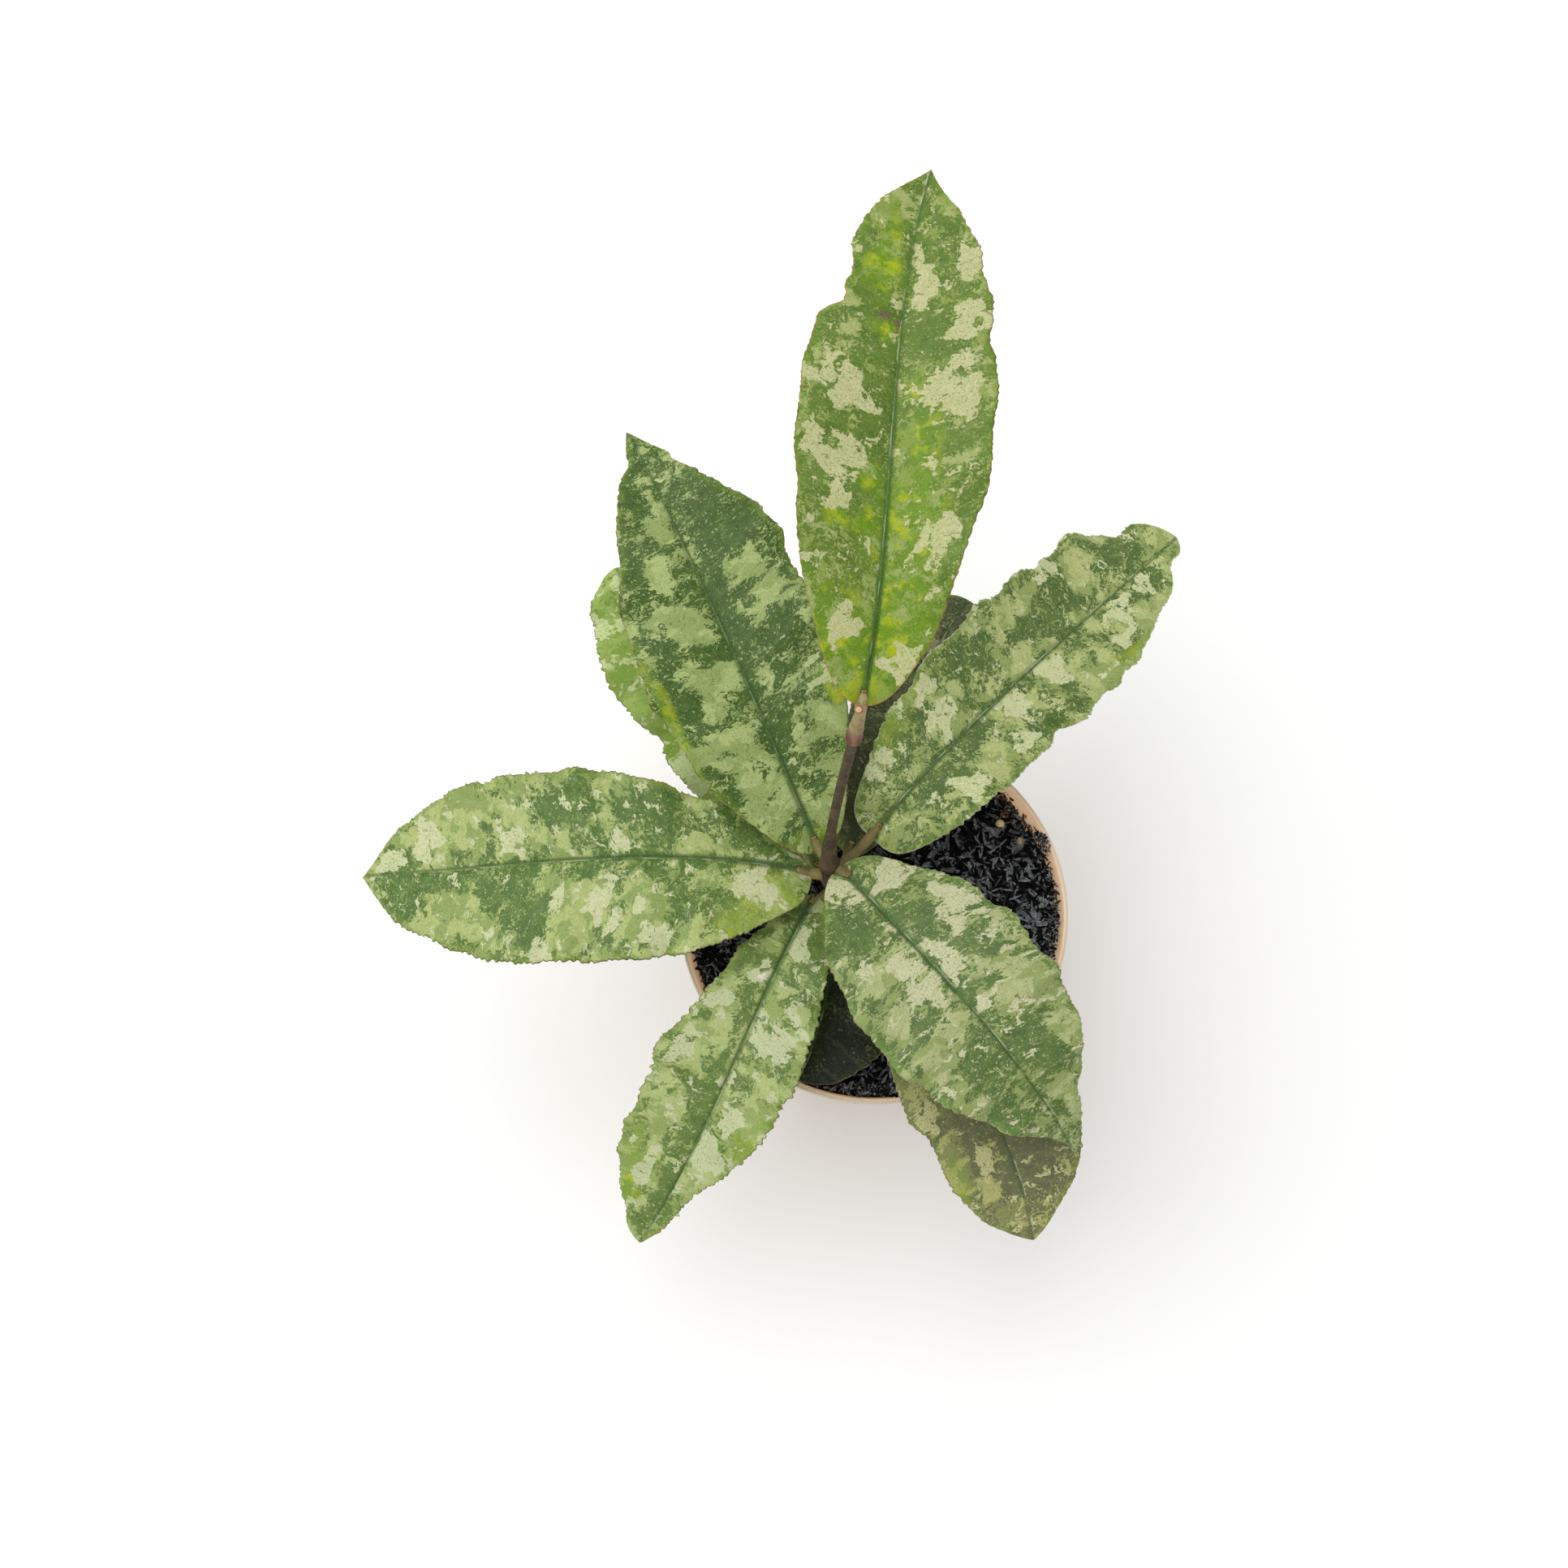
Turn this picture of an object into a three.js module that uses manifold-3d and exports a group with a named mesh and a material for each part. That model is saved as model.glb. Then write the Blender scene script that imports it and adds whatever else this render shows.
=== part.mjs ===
// A splash-leaved hoya in its nursery pot.
// Millimetres, +Z up. The origin is the middle of the pot's underside, where the pot stands.
// +X is the plant's right and +Y its back, seen from the side that the longest leaf points away from.

import * as THREE from 'three';
import { mergeVertices } from 'three/addons/utils/BufferGeometryUtils.js';
import Module from 'manifold-3d';

// Pot
const RIM_DIAMETER = 115;
const BASE_DIAMETER = 75;
const POT_HEIGHT = 90;
const POT_WALL = 1.6;
const FLOOR_THICKNESS = 2.2;
const COLLAR_HEIGHT = 13;
const COLLAR_PROUD = 1.5;
const LIP_WIDTH = 2;
const LIP_STEP = 1.2;
const EDGE_BEVEL = 0.8;
const POT_SIDES = 48;
const DRAIN_HOLES = 8;
const DRAIN_HOLE_DIAMETER = 7;
const DRAIN_HOLE_SIDES = 16;
const DRAIN_RING_RADIUS = 26;
const DRAIN_GROOVE_DEPTH = 1;
const DRAIN_GROOVE_WIDTH = 5;

// Potting mix of charred rice husk
const MIX_LEVEL = 85;
const MIX_DIP = 2;
const MIX_DIP_CENTRE = [40, 38];
const MIX_DIP_REACH = 20;
const MIX_RELIEF = 0.9;
const MIX_WAVES = { across: 6.1, along: 7.3, diagonal: 3.7, diagonalShare: 0.6 };
const MIX_CLEARANCE = 0.5;
const MIX_RINGS = 6;
const MIX_SIDES = 36;
const HUSK_COUNT = 95;
const HUSK_LENGTH = 7.3;
const HUSK_WIDTH = 2.4;
const HUSK_HEIGHT = 1.9;
const HUSK_LENGTH_SHARES = [0.75, 1.1];
const HUSK_FROM_WALL = 0.62 * HUSK_LENGTH;
const HUSK_LIFT = 0.15;
const HUSK_LEAN = 0.22;
const HUSK_ROLL = 0.8;
const HUSK_SEED = 11;

// Slow-release fertiliser beads where they lie in the mix. A bead's middle is above the mix by a share of
// its diameter.
const BEAD_RISE = 0.35;
const BEAD_SIDES = 9;
const BEAD_RINGS = 6;
const BEADS = [
  { name: 'fertiliser_bead_1', x: 38.6, y: 28.6, diameter: 2.8, color: 0xcebd83 },
  { name: 'fertiliser_bead_2', x: 46.4, y: 26.2, diameter: 2.2, color: 0xc9b478 },
  { name: 'fertiliser_bead_3', x: 44.6, y: 23.2, diameter: 2.5, color: 0x7d8260 },
];

// Main stem: a woody foot with close leaf nodes, then one long young internode up to the last leaf
const STEM_FOOT = [-6, -1, 54];
const STEM_PATH = [STEM_FOOT, [-7.5, -1, 80], [-10.5, 0.5, 100], [-12.7, 3.2, 116], [-13.7, 4.4, 125],
  [-13.6, 8.5, 137], [-12, 13.5, 155], [-10, 17.3, 175], [-8.3, 20.3, 191], [-7.4, 22.4, 197.5]];
const STEM_FOOT_RADIUS = 2.3;
const STEM_TOP_RADIUS = 1.5;
const STEM_NARROWS_AT = 0.52;
const STEM_NARROWED_AT = 0.62;
const STEM_SIDES = 10;
const STEM_RINGS = 38;
const NODE_HEIGHTS = [92, 100, 108, 116.5, 125, 191.5];
const STEM_TOP = STEM_PATH.at(-1)[2];
const STEM_SAMPLES = 200;
const NODE_SWELLING = 0.75;
const NODE_LENGTH = 2.6;
const SCAR_RADIUS = 1.25;
const SCAR_FLARE = 1.15;
const SCAR_SIDES = 8;
const SCAR_LENGTH = 3.2;
const SCAR_CENTRE = [-7.9, 20, 196.4];
const SCAR_TILT = 38;

// Leaf blades
const BLADE_MIDDLE_THICKNESS = 1.3;
const BLADE_EDGE_THICKNESS = 0.7;
const BLADE_COLUMNS = [0.38, 0.74, 1];
const VEIN_SWEEP = 0.32;
const VEIN_SWEEP_FROM = 0.3;
const LOBE_REACH = 0.055;
const SCALLOP = 0.04;
const WAVE_UNEVENNESS = 0.7;
const WAVE_DRIFT = 0.6;
const ROW_CROWDING = 0.55;
const PETIOLE_SIDES = 7;
const PETIOLE_RINGS = 7;
const PETIOLE_SAG = 0.08;
const PETIOLE_TAIL = 0.4;
const PETIOLE_SINK = [0.15, 0.55];
const PETIOLE_UNDER_BLADE = 11;
const FIT_GAP = 0.3;

// Each leaf: its midrib from blade base to tip as a cubic curve's four points. To the left and the right as
// it grows, the half width and how slowly the outline fills towards base and tip. The fold upwards in degrees
// at base and tip, the waves of its edge, and the shallow notches in it, where a depth below zero is a bulge.
// Last, the height of the stem node that it grows from.
const LEAVES = [
  {
    name: 'leaf_top', midrib: [[-6, 28.2, 202.8], [2, 64, 231], [-1, 118, 238], [12, 163, 232]],
    left: [25, 0.56, 0.75], right: [26.5, 0.6, 0.75], fold: [24, 16], curl: -10,
    waves: 4.5, waveHeight: 1.6, phase: [0.4, 2.2], teeth: 0.6, lobe: 3.5,
    notches: [{ side: 1, at: 0.69, depth: 4.8, reach: 0.03 }, { side: 1, at: 0.735, depth: 4, reach: 0.04 },
      { side: 1, at: 0.545, depth: -1.1, reach: 0.05 }, { side: -1, at: 0.19, depth: 2, reach: 0.08 }],
    node: STEM_TOP, petioleRadius: 1.7, rows: 32, seed: 21,
  },
  {
    name: 'leaf_back_left', midrib: [[-18, 11.4, 126], [-34, 45, 148], [-53, 87, 156], [-72, 127, 149]],
    left: [27.5, 0.63, 0.95], right: [27, 0.58, 0.8], fold: [14, 12], curl: -10,
    waves: 5, waveHeight: 1.8, phase: [1.2, 0.2], teeth: 0.9, lobe: 4,
    notches: [{ side: 1, at: 0.75, depth: 1.4, reach: 0.12 }, { side: -1, at: 0.7, depth: -3.2, reach: 0.05 },
      { side: -1, at: 0.84, depth: 2.2, reach: 0.09 }],
    node: 125, petioleRadius: 1.7, rows: 32, seed: 22,
  },
  {
    name: 'leaf_low_left', midrib: [[-17, 11, 101], [-38, 42, 111], [-60, 62, 117], [-77, 100, 112]],
    left: [19.5, 0.6, 0.5], right: [20, 0.6, 0.5], fold: [8, 8], curl: -8,
    waves: 5.5, waveHeight: 2.6, phase: [0.9, 1.9], teeth: 1.2, lobe: 3,
    notches: [{ side: 1, at: 0.5, depth: 4, reach: 0.05 }],
    node: 100, petioleRadius: 1.6, rows: 26, seed: 23,
  },
  {
    name: 'leaf_left', midrib: [[-22, 4.7, 118], [-62, 8, 135], [-107, 1, 133], [-147, 3, 116]],
    left: [31, 0.5, 0.68], right: [26.5, 0.8, 0.68], fold: [14, 8], curl: -12,
    waves: 6.5, waveHeight: 1.5, phase: [0.3, 1.4], teeth: 1, lobe: 4,
    notches: [{ side: 1, at: 0.7, depth: -1.5, reach: 0.05 }, { side: -1, at: 0.83, depth: -1.5, reach: 0.04 }],
    node: 116.5, petioleRadius: 1.9, rows: 32, seed: 24,
  },
  {
    name: 'leaf_front_left', midrib: [[-18.5, -2.5, 110], [-34, -34, 127], [-47, -71, 111], [-67, -98, 95]],
    left: [18.5, 0.66, 0.9], right: [19.5, 0.75, 0.48], fold: [14, 10], curl: -10,
    waves: 6.5, waveHeight: 1.8, phase: [1.1, 0.1], teeth: 1, lobe: 3,
    notches: [{ side: 1, at: 0.82, depth: 3.8, reach: 0.1 }, { side: -1, at: 0.48, depth: -3, reach: 0.09 },
      { side: -1, at: 0.72, depth: -2.8, reach: 0.04 }],
    node: 108, petioleRadius: 1.7, rows: 32, seed: 25,
  },
  {
    name: 'leaf_front_right', midrib: [[-8.5, 1, 126], [10, -24, 141], [40, -56, 144], [54, -76, 116]],
    left: [26, 0.57, 0.85], right: [27.5, 0.64, 1], fold: [10, 8], curl: -14,
    waves: 6, waveHeight: 1.4, phase: [0.2, 1.7], teeth: 0.8, lobe: 4,
    notches: [{ side: 1, at: 0.84, depth: 3.6, reach: 0.03 }, { side: 1, at: 0.89, depth: 1.4, reach: 0.05 },
      { side: -1, at: 0.93, depth: 3, reach: 0.06 }],
    node: 125, petioleRadius: 1.7, rows: 32, seed: 26,
  },
  {
    name: 'leaf_low_front', midrib: [[-5.5, -3, 101], [13, -31, 111], [38, -61, 109], [44, -97, 94]],
    left: [26, 1, 0.85], right: [23.5, 1, 0.65], fold: [8, 6], curl: -8,
    waves: 5, waveHeight: 1.6, phase: [0.8, 2.4], teeth: 0.9, lobe: 3,
    notches: [{ side: -1, at: 0.67, depth: 3.5, reach: 0.12 }],
    node: 100, petioleRadius: 1.6, rows: 26, seed: 27,
  },
  {
    name: 'leaf_back_right', midrib: [[0.7, 17.7, 118], [26, 45, 136], [60, 72, 143], [88, 102, 131]],
    left: [23.5, 0.43, 0.48], right: [21, 0.3, 0.55], fold: [12, 8], curl: -8,
    waves: 6.5, waveHeight: 2.6, phase: [0.5, 1.6], teeth: 1, lobe: 4,
    notches: [{ side: 1, at: 0.65, depth: 2.1, reach: 0.03 }, { side: 1, at: 0.775, depth: -1.7, reach: 0.05 },
      { side: 1, at: 0.89, depth: 2.9, reach: 0.03 }, { side: -1, at: 0.415, depth: 2.8, reach: 0.03 },
      { side: -1, at: 0.67, depth: -2.9, reach: 0.05 }],
    node: 116.5, petioleRadius: 1.7, rows: 32, seed: 28,
  },
  {
    name: 'leaf_low_back', midrib: [[-7, 15, 109], [4, 38, 118], [14, 63, 123], [27, 87, 120]],
    left: [17, 0.5, 0.45], right: [17, 0.5, 0.45], fold: [8, 8], curl: -8,
    waves: 4, waveHeight: 1.5, phase: [0.4, 1.2], teeth: 0.8, lobe: 3,
    node: 108, petioleRadius: 1.6, rows: 24, seed: 29,
  },
  {
    name: 'leaf_lowest', midrib: [[-11, -6, 93], [-14, -20, 98], [-14, -36, 96], [-23, -51, 92]],
    left: [21, 0.5, 0.6], right: [19, 0.5, 0.5], fold: [6, 4], curl: -6,
    waves: 3, waveHeight: 1, phase: [0.4, 1.2], teeth: 0.8, lobe: 2,
    node: 92, petioleRadius: 1.5, rows: 22, seed: 30,
  },
];

// Colours
const POT_COLOR = 0xc3a88a;
const MIX_COLOR = 0x1c1b1a;
const STEM_COLOR = 0x5b4a3a;
const LEAF_COLOR = 0x6f8a4a;

const wasm = await Module();
wasm.setup();

const up = new THREE.Vector3(0, 0, 1);
const radians = THREE.MathUtils.degToRad;
const blend = THREE.MathUtils.lerp;
const vector = ([x, y, z]) => new THREE.Vector3(x, y, z);

// A repeatable run of numbers between 0 and 1
function seededRandom(seed) {
  let state = seed;
  return () => {
    state = (state * 16807) % 2147483647;
    return state / 2147483647;
  };
}

function toSolid(geometry) {
  const bare = geometry.clone();
  bare.deleteAttribute('normal');
  bare.deleteAttribute('uv');
  const welded = mergeVertices(bare, 1e-4);
  return new wasm.Manifold(new wasm.Mesh({
    numProp: 3,
    vertProperties: new Float32Array(welded.attributes.position.array),
    triVerts: new Uint32Array(welded.index.array),
  }));
}

function toGeometry(solid) {
  const mesh = solid.getMesh();
  const geometry = new THREE.BufferGeometry();
  geometry.setAttribute('position', new THREE.BufferAttribute(mesh.vertProperties, 3));
  geometry.setIndex(new THREE.BufferAttribute(mesh.triVerts, 1));
  geometry.computeVertexNormals();
  return geometry;
}

function piece(name, solid, color, roughness) {
  const material = new THREE.MeshStandardMaterial({ color, roughness, metalness: 0 });
  const mesh = new THREE.Mesh(toGeometry(solid), material);
  mesh.name = name;
  return mesh;
}

// A lathe turned so that its axis is +Z
function lathe(profile, sides) {
  const points = profile.map(([r, z]) => new THREE.Vector2(r, z));
  return new THREE.LatheGeometry(points, sides).rotateX(Math.PI / 2);
}

const rimRadius = RIM_DIAMETER / 2;
const baseRadius = BASE_DIAMETER / 2;
const collarBottom = POT_HEIGHT - COLLAR_HEIGHT;
const collarLedge = collarBottom + POT_WALL;

// Outer radius of the pot's wall below the collar, carried on up to the rim
function wallRadius(z) {
  return blend(baseRadius, rimRadius - COLLAR_PROUD, z / POT_HEIGHT);
}

// Outer radius of the collar, the wider band under the rim
function collarRadius(z) {
  const bottomRadius = wallRadius(collarBottom) + COLLAR_PROUD;
  return blend(bottomRadius, rimRadius, (z - collarBottom) / COLLAR_HEIGHT);
}

// Inside, the wall follows its outside, with a ledge where the collar begins
function innerRadius(z) {
  return (z > collarLedge ? collarRadius(z) : wallRadius(z)) - POT_WALL;
}

function potSolid() {
  const lipInner = rimRadius - LIP_WIDTH;
  const shell = toSolid(lathe([
    [0, 0],
    [baseRadius - EDGE_BEVEL, 0],
    [baseRadius, EDGE_BEVEL],
    [wallRadius(collarBottom), collarBottom],
    [collarRadius(collarBottom + EDGE_BEVEL), collarBottom + EDGE_BEVEL],
    [rimRadius, POT_HEIGHT - EDGE_BEVEL],
    [rimRadius - EDGE_BEVEL / 2, POT_HEIGHT],
    [lipInner, POT_HEIGHT],
    [lipInner, POT_HEIGHT - LIP_STEP],
    [innerRadius(POT_HEIGHT - 2 * LIP_STEP), POT_HEIGHT - 2 * LIP_STEP],
    [collarRadius(collarLedge) - POT_WALL, collarLedge],
    [innerRadius(collarBottom), collarBottom],
    [innerRadius(FLOOR_THICKNESS), FLOOR_THICKNESS],
    [0, FLOOR_THICKNESS],
  ], POT_SIDES));
  let pot = shell;
  for (let i = 0; i < DRAIN_HOLES; i += 1) {
    const angle = (i + 0.5) * 2 * Math.PI / DRAIN_HOLES;
    const holeRadius = DRAIN_HOLE_DIAMETER / 2;
    const hole = new THREE.CylinderGeometry(holeRadius, holeRadius, 4 * FLOOR_THICKNESS, DRAIN_HOLE_SIDES);
    hole.rotateX(Math.PI / 2).translate(DRAIN_RING_RADIUS, 0, 0).rotateZ(angle);
    pot = pot.subtract(toSolid(hole));
    const groove = new THREE.BoxGeometry(BASE_DIAMETER / 2, DRAIN_GROOVE_WIDTH, 2 * DRAIN_GROOVE_DEPTH);
    groove.translate(DRAIN_RING_RADIUS + BASE_DIAMETER / 4, 0, 0).rotateZ(angle);
    pot = pot.subtract(toSolid(groove));
  }
  return pot;
}

// Height of the mix: nearly flat, uneven by a few waves, and lower against the wall at the back right
function mixHeight(x, y) {
  const toDip = Math.hypot(x - MIX_DIP_CENTRE[0], y - MIX_DIP_CENTRE[1]);
  const dip = MIX_DIP * Math.exp(-((toDip / MIX_DIP_REACH) ** 2));
  const broad = Math.sin(x / MIX_WAVES.across + 1) * Math.cos(y / MIX_WAVES.along);
  const uneven = broad + MIX_WAVES.diagonalShare * Math.sin((x + y) / MIX_WAVES.diagonal);
  return MIX_LEVEL - dip + MIX_RELIEF * uneven;
}

function mixRadius(z) {
  return innerRadius(z) - MIX_CLEARANCE;
}

function mixGround() {
  const bottom = FLOOR_THICKNESS + FIT_GAP;
  const edge = mixRadius(MIX_LEVEL);
  const profile = [
    [0, bottom],
    [mixRadius(bottom), bottom],
    [mixRadius(collarBottom), collarBottom],
    [collarRadius(collarLedge) - POT_WALL - MIX_CLEARANCE, collarLedge + FIT_GAP],
  ];
  for (let ring = MIX_RINGS; ring >= 0; ring -= 1) {
    profile.push([edge * ring / MIX_RINGS, MIX_LEVEL]);
  }
  const ground = lathe(profile, MIX_SIDES);
  const position = ground.attributes.position;
  for (let i = 0; i < position.count; i += 1) {
    if (position.getZ(i) === MIX_LEVEL) {
      const height = mixHeight(position.getX(i), position.getY(i));
      const inward = Math.min(mixRadius(height) / edge, 1);
      position.setXYZ(i, position.getX(i) * inward, position.getY(i) * inward, height);
    }
  }
  return toSolid(ground);
}

// Charred rice husks: slim eight-faced hulls strewn evenly by the golden angle, half sunk in the mix
function husks() {
  const random = seededRandom(HUSK_SEED);
  const goldenAngle = Math.PI * (3 - Math.sqrt(5));
  const reach = innerRadius(MIX_LEVEL) - HUSK_FROM_WALL;
  const hulls = [];
  for (let i = 0; i < HUSK_COUNT; i += 1) {
    const radius = reach * Math.sqrt((i + 0.5) / HUSK_COUNT);
    const x = radius * Math.cos(i * goldenAngle) + random() - 0.5;
    const y = radius * Math.sin(i * goldenAngle) + random() - 0.5;
    const hull = new THREE.OctahedronGeometry(0.5, 0);
    hull.scale(HUSK_LENGTH * blend(...HUSK_LENGTH_SHARES, random()), HUSK_WIDTH, HUSK_HEIGHT);
    hull.rotateX(blend(-HUSK_ROLL, HUSK_ROLL, random()));
    hull.rotateY(blend(-HUSK_LEAN, HUSK_LEAN, random()));
    hull.rotateZ(random() * 2 * Math.PI);
    hull.translate(x, y, mixHeight(x, y) + HUSK_LIFT);
    hulls.push(toSolid(hull));
  }
  return wasm.Manifold.union(hulls);
}

function beadCentre(bead) {
  return [bead.x, bead.y, mixHeight(bead.x, bead.y) + bead.diameter * BEAD_RISE];
}

function beadSolid(bead, extra) {
  const ball = new THREE.SphereGeometry(bead.diameter / 2 + extra, BEAD_SIDES, BEAD_RINGS);
  return toSolid(ball.translate(...beadCentre(bead)));
}

function mixSolid() {
  let ground = mixGround().add(husks());
  ground = ground.subtract(stemSolid(FIT_GAP));
  for (const bead of BEADS) {
    ground = ground.subtract(beadSolid(bead, FIT_GAP));
  }
  return largestPiece(ground);
}

// Cutting can leave a loose scrap, which is dropped
function largestPiece(solid) {
  const pieces = solid.decompose();
  return pieces.reduce((best, next) => (next.volume() > best.volume() ? next : best));
}

// A closed round tube along a curve, whose radius changes from ring to ring
function tube(curve, rings, sides, radiusAt) {
  const frames = curve.computeFrenetFrames(rings, false);
  const vertices = [];
  const triangles = [];
  for (let ring = 0; ring <= rings; ring += 1) {
    const centre = curve.getPointAt(ring / rings);
    const radius = radiusAt(ring / rings, centre);
    for (let side = 0; side < sides; side += 1) {
      const angle = side * 2 * Math.PI / sides;
      const point = centre.clone();
      point.addScaledVector(frames.normals[ring], radius * Math.cos(angle));
      point.addScaledVector(frames.binormals[ring], radius * Math.sin(angle));
      vertices.push(point.x, point.y, point.z);
    }
  }
  for (let ring = 0; ring < rings; ring += 1) {
    for (let side = 0; side < sides; side += 1) {
      const next = (side + 1) % sides;
      const a = ring * sides + side;
      const b = ring * sides + next;
      triangles.push(a, b, b + sides, a, b + sides, a + sides);
    }
  }
  const last = rings * sides;
  for (let side = 1; side < sides - 1; side += 1) {
    triangles.push(0, side + 1, side);
    triangles.push(last, last + side, last + side + 1);
  }
  const geometry = new THREE.BufferGeometry();
  geometry.setAttribute('position', new THREE.Float32BufferAttribute(vertices, 3));
  geometry.setIndex(triangles);
  return toSolid(geometry);
}

const stemCurve = new THREE.CatmullRomCurve3(STEM_PATH.map(vector));

function stemRadius(along, centre) {
  const narrowing = THREE.MathUtils.smoothstep(along, STEM_NARROWS_AT, STEM_NARROWED_AT);
  const plain = blend(STEM_FOOT_RADIUS, STEM_TOP_RADIUS, narrowing);
  const swelling = NODE_HEIGHTS.reduce((sum, z) => sum + Math.exp(-(((centre.z - z) / NODE_LENGTH) ** 2)), 0);
  return plain + NODE_SWELLING * swelling;
}

// The stem, or with an extra radius the plain hole it stands in
function stemSolid(extra) {
  const body = tube(stemCurve, STEM_RINGS, STEM_SIDES, (along, centre) => stemRadius(along, centre) + extra);
  if (extra > 0) {
    const foot = new THREE.SphereGeometry(STEM_FOOT_RADIUS + 2 * extra, STEM_SIDES, STEM_SIDES / 2);
    return body.add(toSolid(foot.translate(...STEM_FOOT)));
  }
  return body.add(leafScar());
}

// The cut stub where the last leaf's partner grew, on the front of the top node
function leafScar() {
  const stub = new THREE.CylinderGeometry(SCAR_RADIUS * SCAR_FLARE, SCAR_RADIUS, SCAR_LENGTH, SCAR_SIDES);
  stub.rotateX(radians(-90 - SCAR_TILT));
  return toSolid(stub.translate(...SCAR_CENTRE));
}

// How far the edge's waves have turned at a share s of the length: they follow each other unevenly
function waveTurn(leaf, side, s) {
  const turn = 2 * Math.PI * leaf.waves * s + leaf.phase[side > 0 ? 0 : 1];
  return turn + WAVE_UNEVENNESS * Math.sin(WAVE_DRIFT * turn);
}

// Half width of a blade at a share s of its length: it rises quickly from the base and falls to the tip
function halfWidthAt(leaf, side, s) {
  const [halfWidth, base, tip] = side > 0 ? leaf.left : leaf.right;
  const widest = base / (base + tip);
  const outline = (s / widest) ** base * ((1 - s) / (1 - widest)) ** tip;
  let width = halfWidth * outline * (1 + SCALLOP * Math.sin(waveTurn(leaf, side, s) + 1));
  for (const notch of leaf.notches ?? []) {
    if (notch.side === side) {
      width -= notch.depth * Math.exp(-(((s - notch.at) / notch.reach) ** 2));
    }
  }
  return width;
}

// Three directions at a distance along the midrib: along it, to the leaf's left, and up from its face
function midribFrame(leaf, curve, distance) {
  const length = curve.getLength();
  const u = THREE.MathUtils.clamp(distance / length, 0, 1);
  const along = curve.getTangentAt(u);
  const origin = curve.getPointAt(u).addScaledVector(along, distance - u * length);
  const face = up.clone().addScaledVector(along, -up.dot(along)).normalize();
  const left = new THREE.Vector3().crossVectors(face, along);
  return { origin, left, face };
}

// A point of the blade's middle surface: s from base to tip, across from the midrib, 0, to the margin, 1
function bladePoint(leaf, curve, s, side, across, tooth) {
  const length = curve.getLength();
  const width = Math.max(halfWidthAt(leaf, side, s) + tooth, 0);
  const lobe = leaf.lobe * Math.exp(-((s / LOBE_REACH) ** 2));
  const sweep = VEIN_SWEEP * width * across * (1 - s) * THREE.MathUtils.smoothstep(s, 0, VEIN_SWEEP_FROM);
  const { origin, left, face } = midribFrame(leaf, curve, length * s - lobe * across + sweep);
  const fold = radians(blend(leaf.fold[0], leaf.fold[1], s));
  const curl = radians(leaf.curl);
  const chord = fold + curl * across / 2;
  const slope = fold + curl * across;
  const swing = Math.sin(waveTurn(leaf, side, s));
  const wave = leaf.waveHeight * across ** 2 * swing * Math.sin(Math.PI * s) ** 0.5;
  const out = width * across * Math.cos(chord) - wave * Math.sin(slope);
  const rise = width * across * Math.sin(chord) + wave * Math.cos(slope);
  return origin.addScaledVector(left, side * out).addScaledVector(face, rise);
}

// Rows of the blade from base to tip, closer together towards both ends
function bladeStations(rows) {
  const stations = [];
  for (let i = 0; i <= rows; i += 1) {
    const even = i / rows;
    const eased = (1 - Math.cos(Math.PI * even)) / 2;
    stations.push(blend(even, eased, ROW_CROWDING));
  }
  return stations;
}

// A blade as a closed sheet. Both faces are split into the same triangles, so that they never cross.
function bladeSolid(leaf, curve) {
  const random = seededRandom(leaf.seed);
  const stations = bladeStations(leaf.rows);
  const columns = [];
  for (let c = BLADE_COLUMNS.length - 1; c >= 0; c -= 1) {
    columns.push({ side: 1, across: BLADE_COLUMNS[c] });
  }
  columns.push({ side: 1, across: 0 });
  for (const across of BLADE_COLUMNS) {
    columns.push({ side: -1, across });
  }
  const wide = columns.length;
  const points = [bladePoint(leaf, curve, 0, 1, 0, 0)];
  const thickness = [BLADE_EDGE_THICKNESS];
  for (const s of stations.slice(1, -1)) {
    const teeth = { 1: leaf.teeth * (random() - 0.5), [-1]: leaf.teeth * (random() - 0.5) };
    for (const { side, across } of columns) {
      points.push(bladePoint(leaf, curve, s, side, across, teeth[side] * across));
      thickness.push(blend(BLADE_MIDDLE_THICKNESS, BLADE_EDGE_THICKNESS, across ** 0.5));
    }
  }
  points.push(bladePoint(leaf, curve, 1, 1, 0, 0));
  thickness.push(BLADE_EDGE_THICKNESS);
  const tip = points.length - 1;
  const row = (i, c) => 1 + (i - 1) * wide + c;
  const rows = leaf.rows;
  const face = [];
  for (let c = 0; c < wide - 1; c += 1) {
    face.push([0, row(1, c + 1), row(1, c)]);
    for (let i = 1; i < rows - 1; i += 1) {
      face.push([row(i, c), row(i, c + 1), row(i + 1, c + 1)]);
      face.push([row(i, c), row(i + 1, c + 1), row(i + 1, c)]);
    }
    face.push([row(rows - 1, c), row(rows - 1, c + 1), tip]);
  }
  const margin = [0];
  for (let i = 1; i < rows; i += 1) {
    margin.push(row(i, 0));
  }
  margin.push(tip);
  for (let i = rows - 1; i > 0; i -= 1) {
    margin.push(row(i, wide - 1));
  }
  return sheetSolid(points, thickness, face, margin);
}

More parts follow.
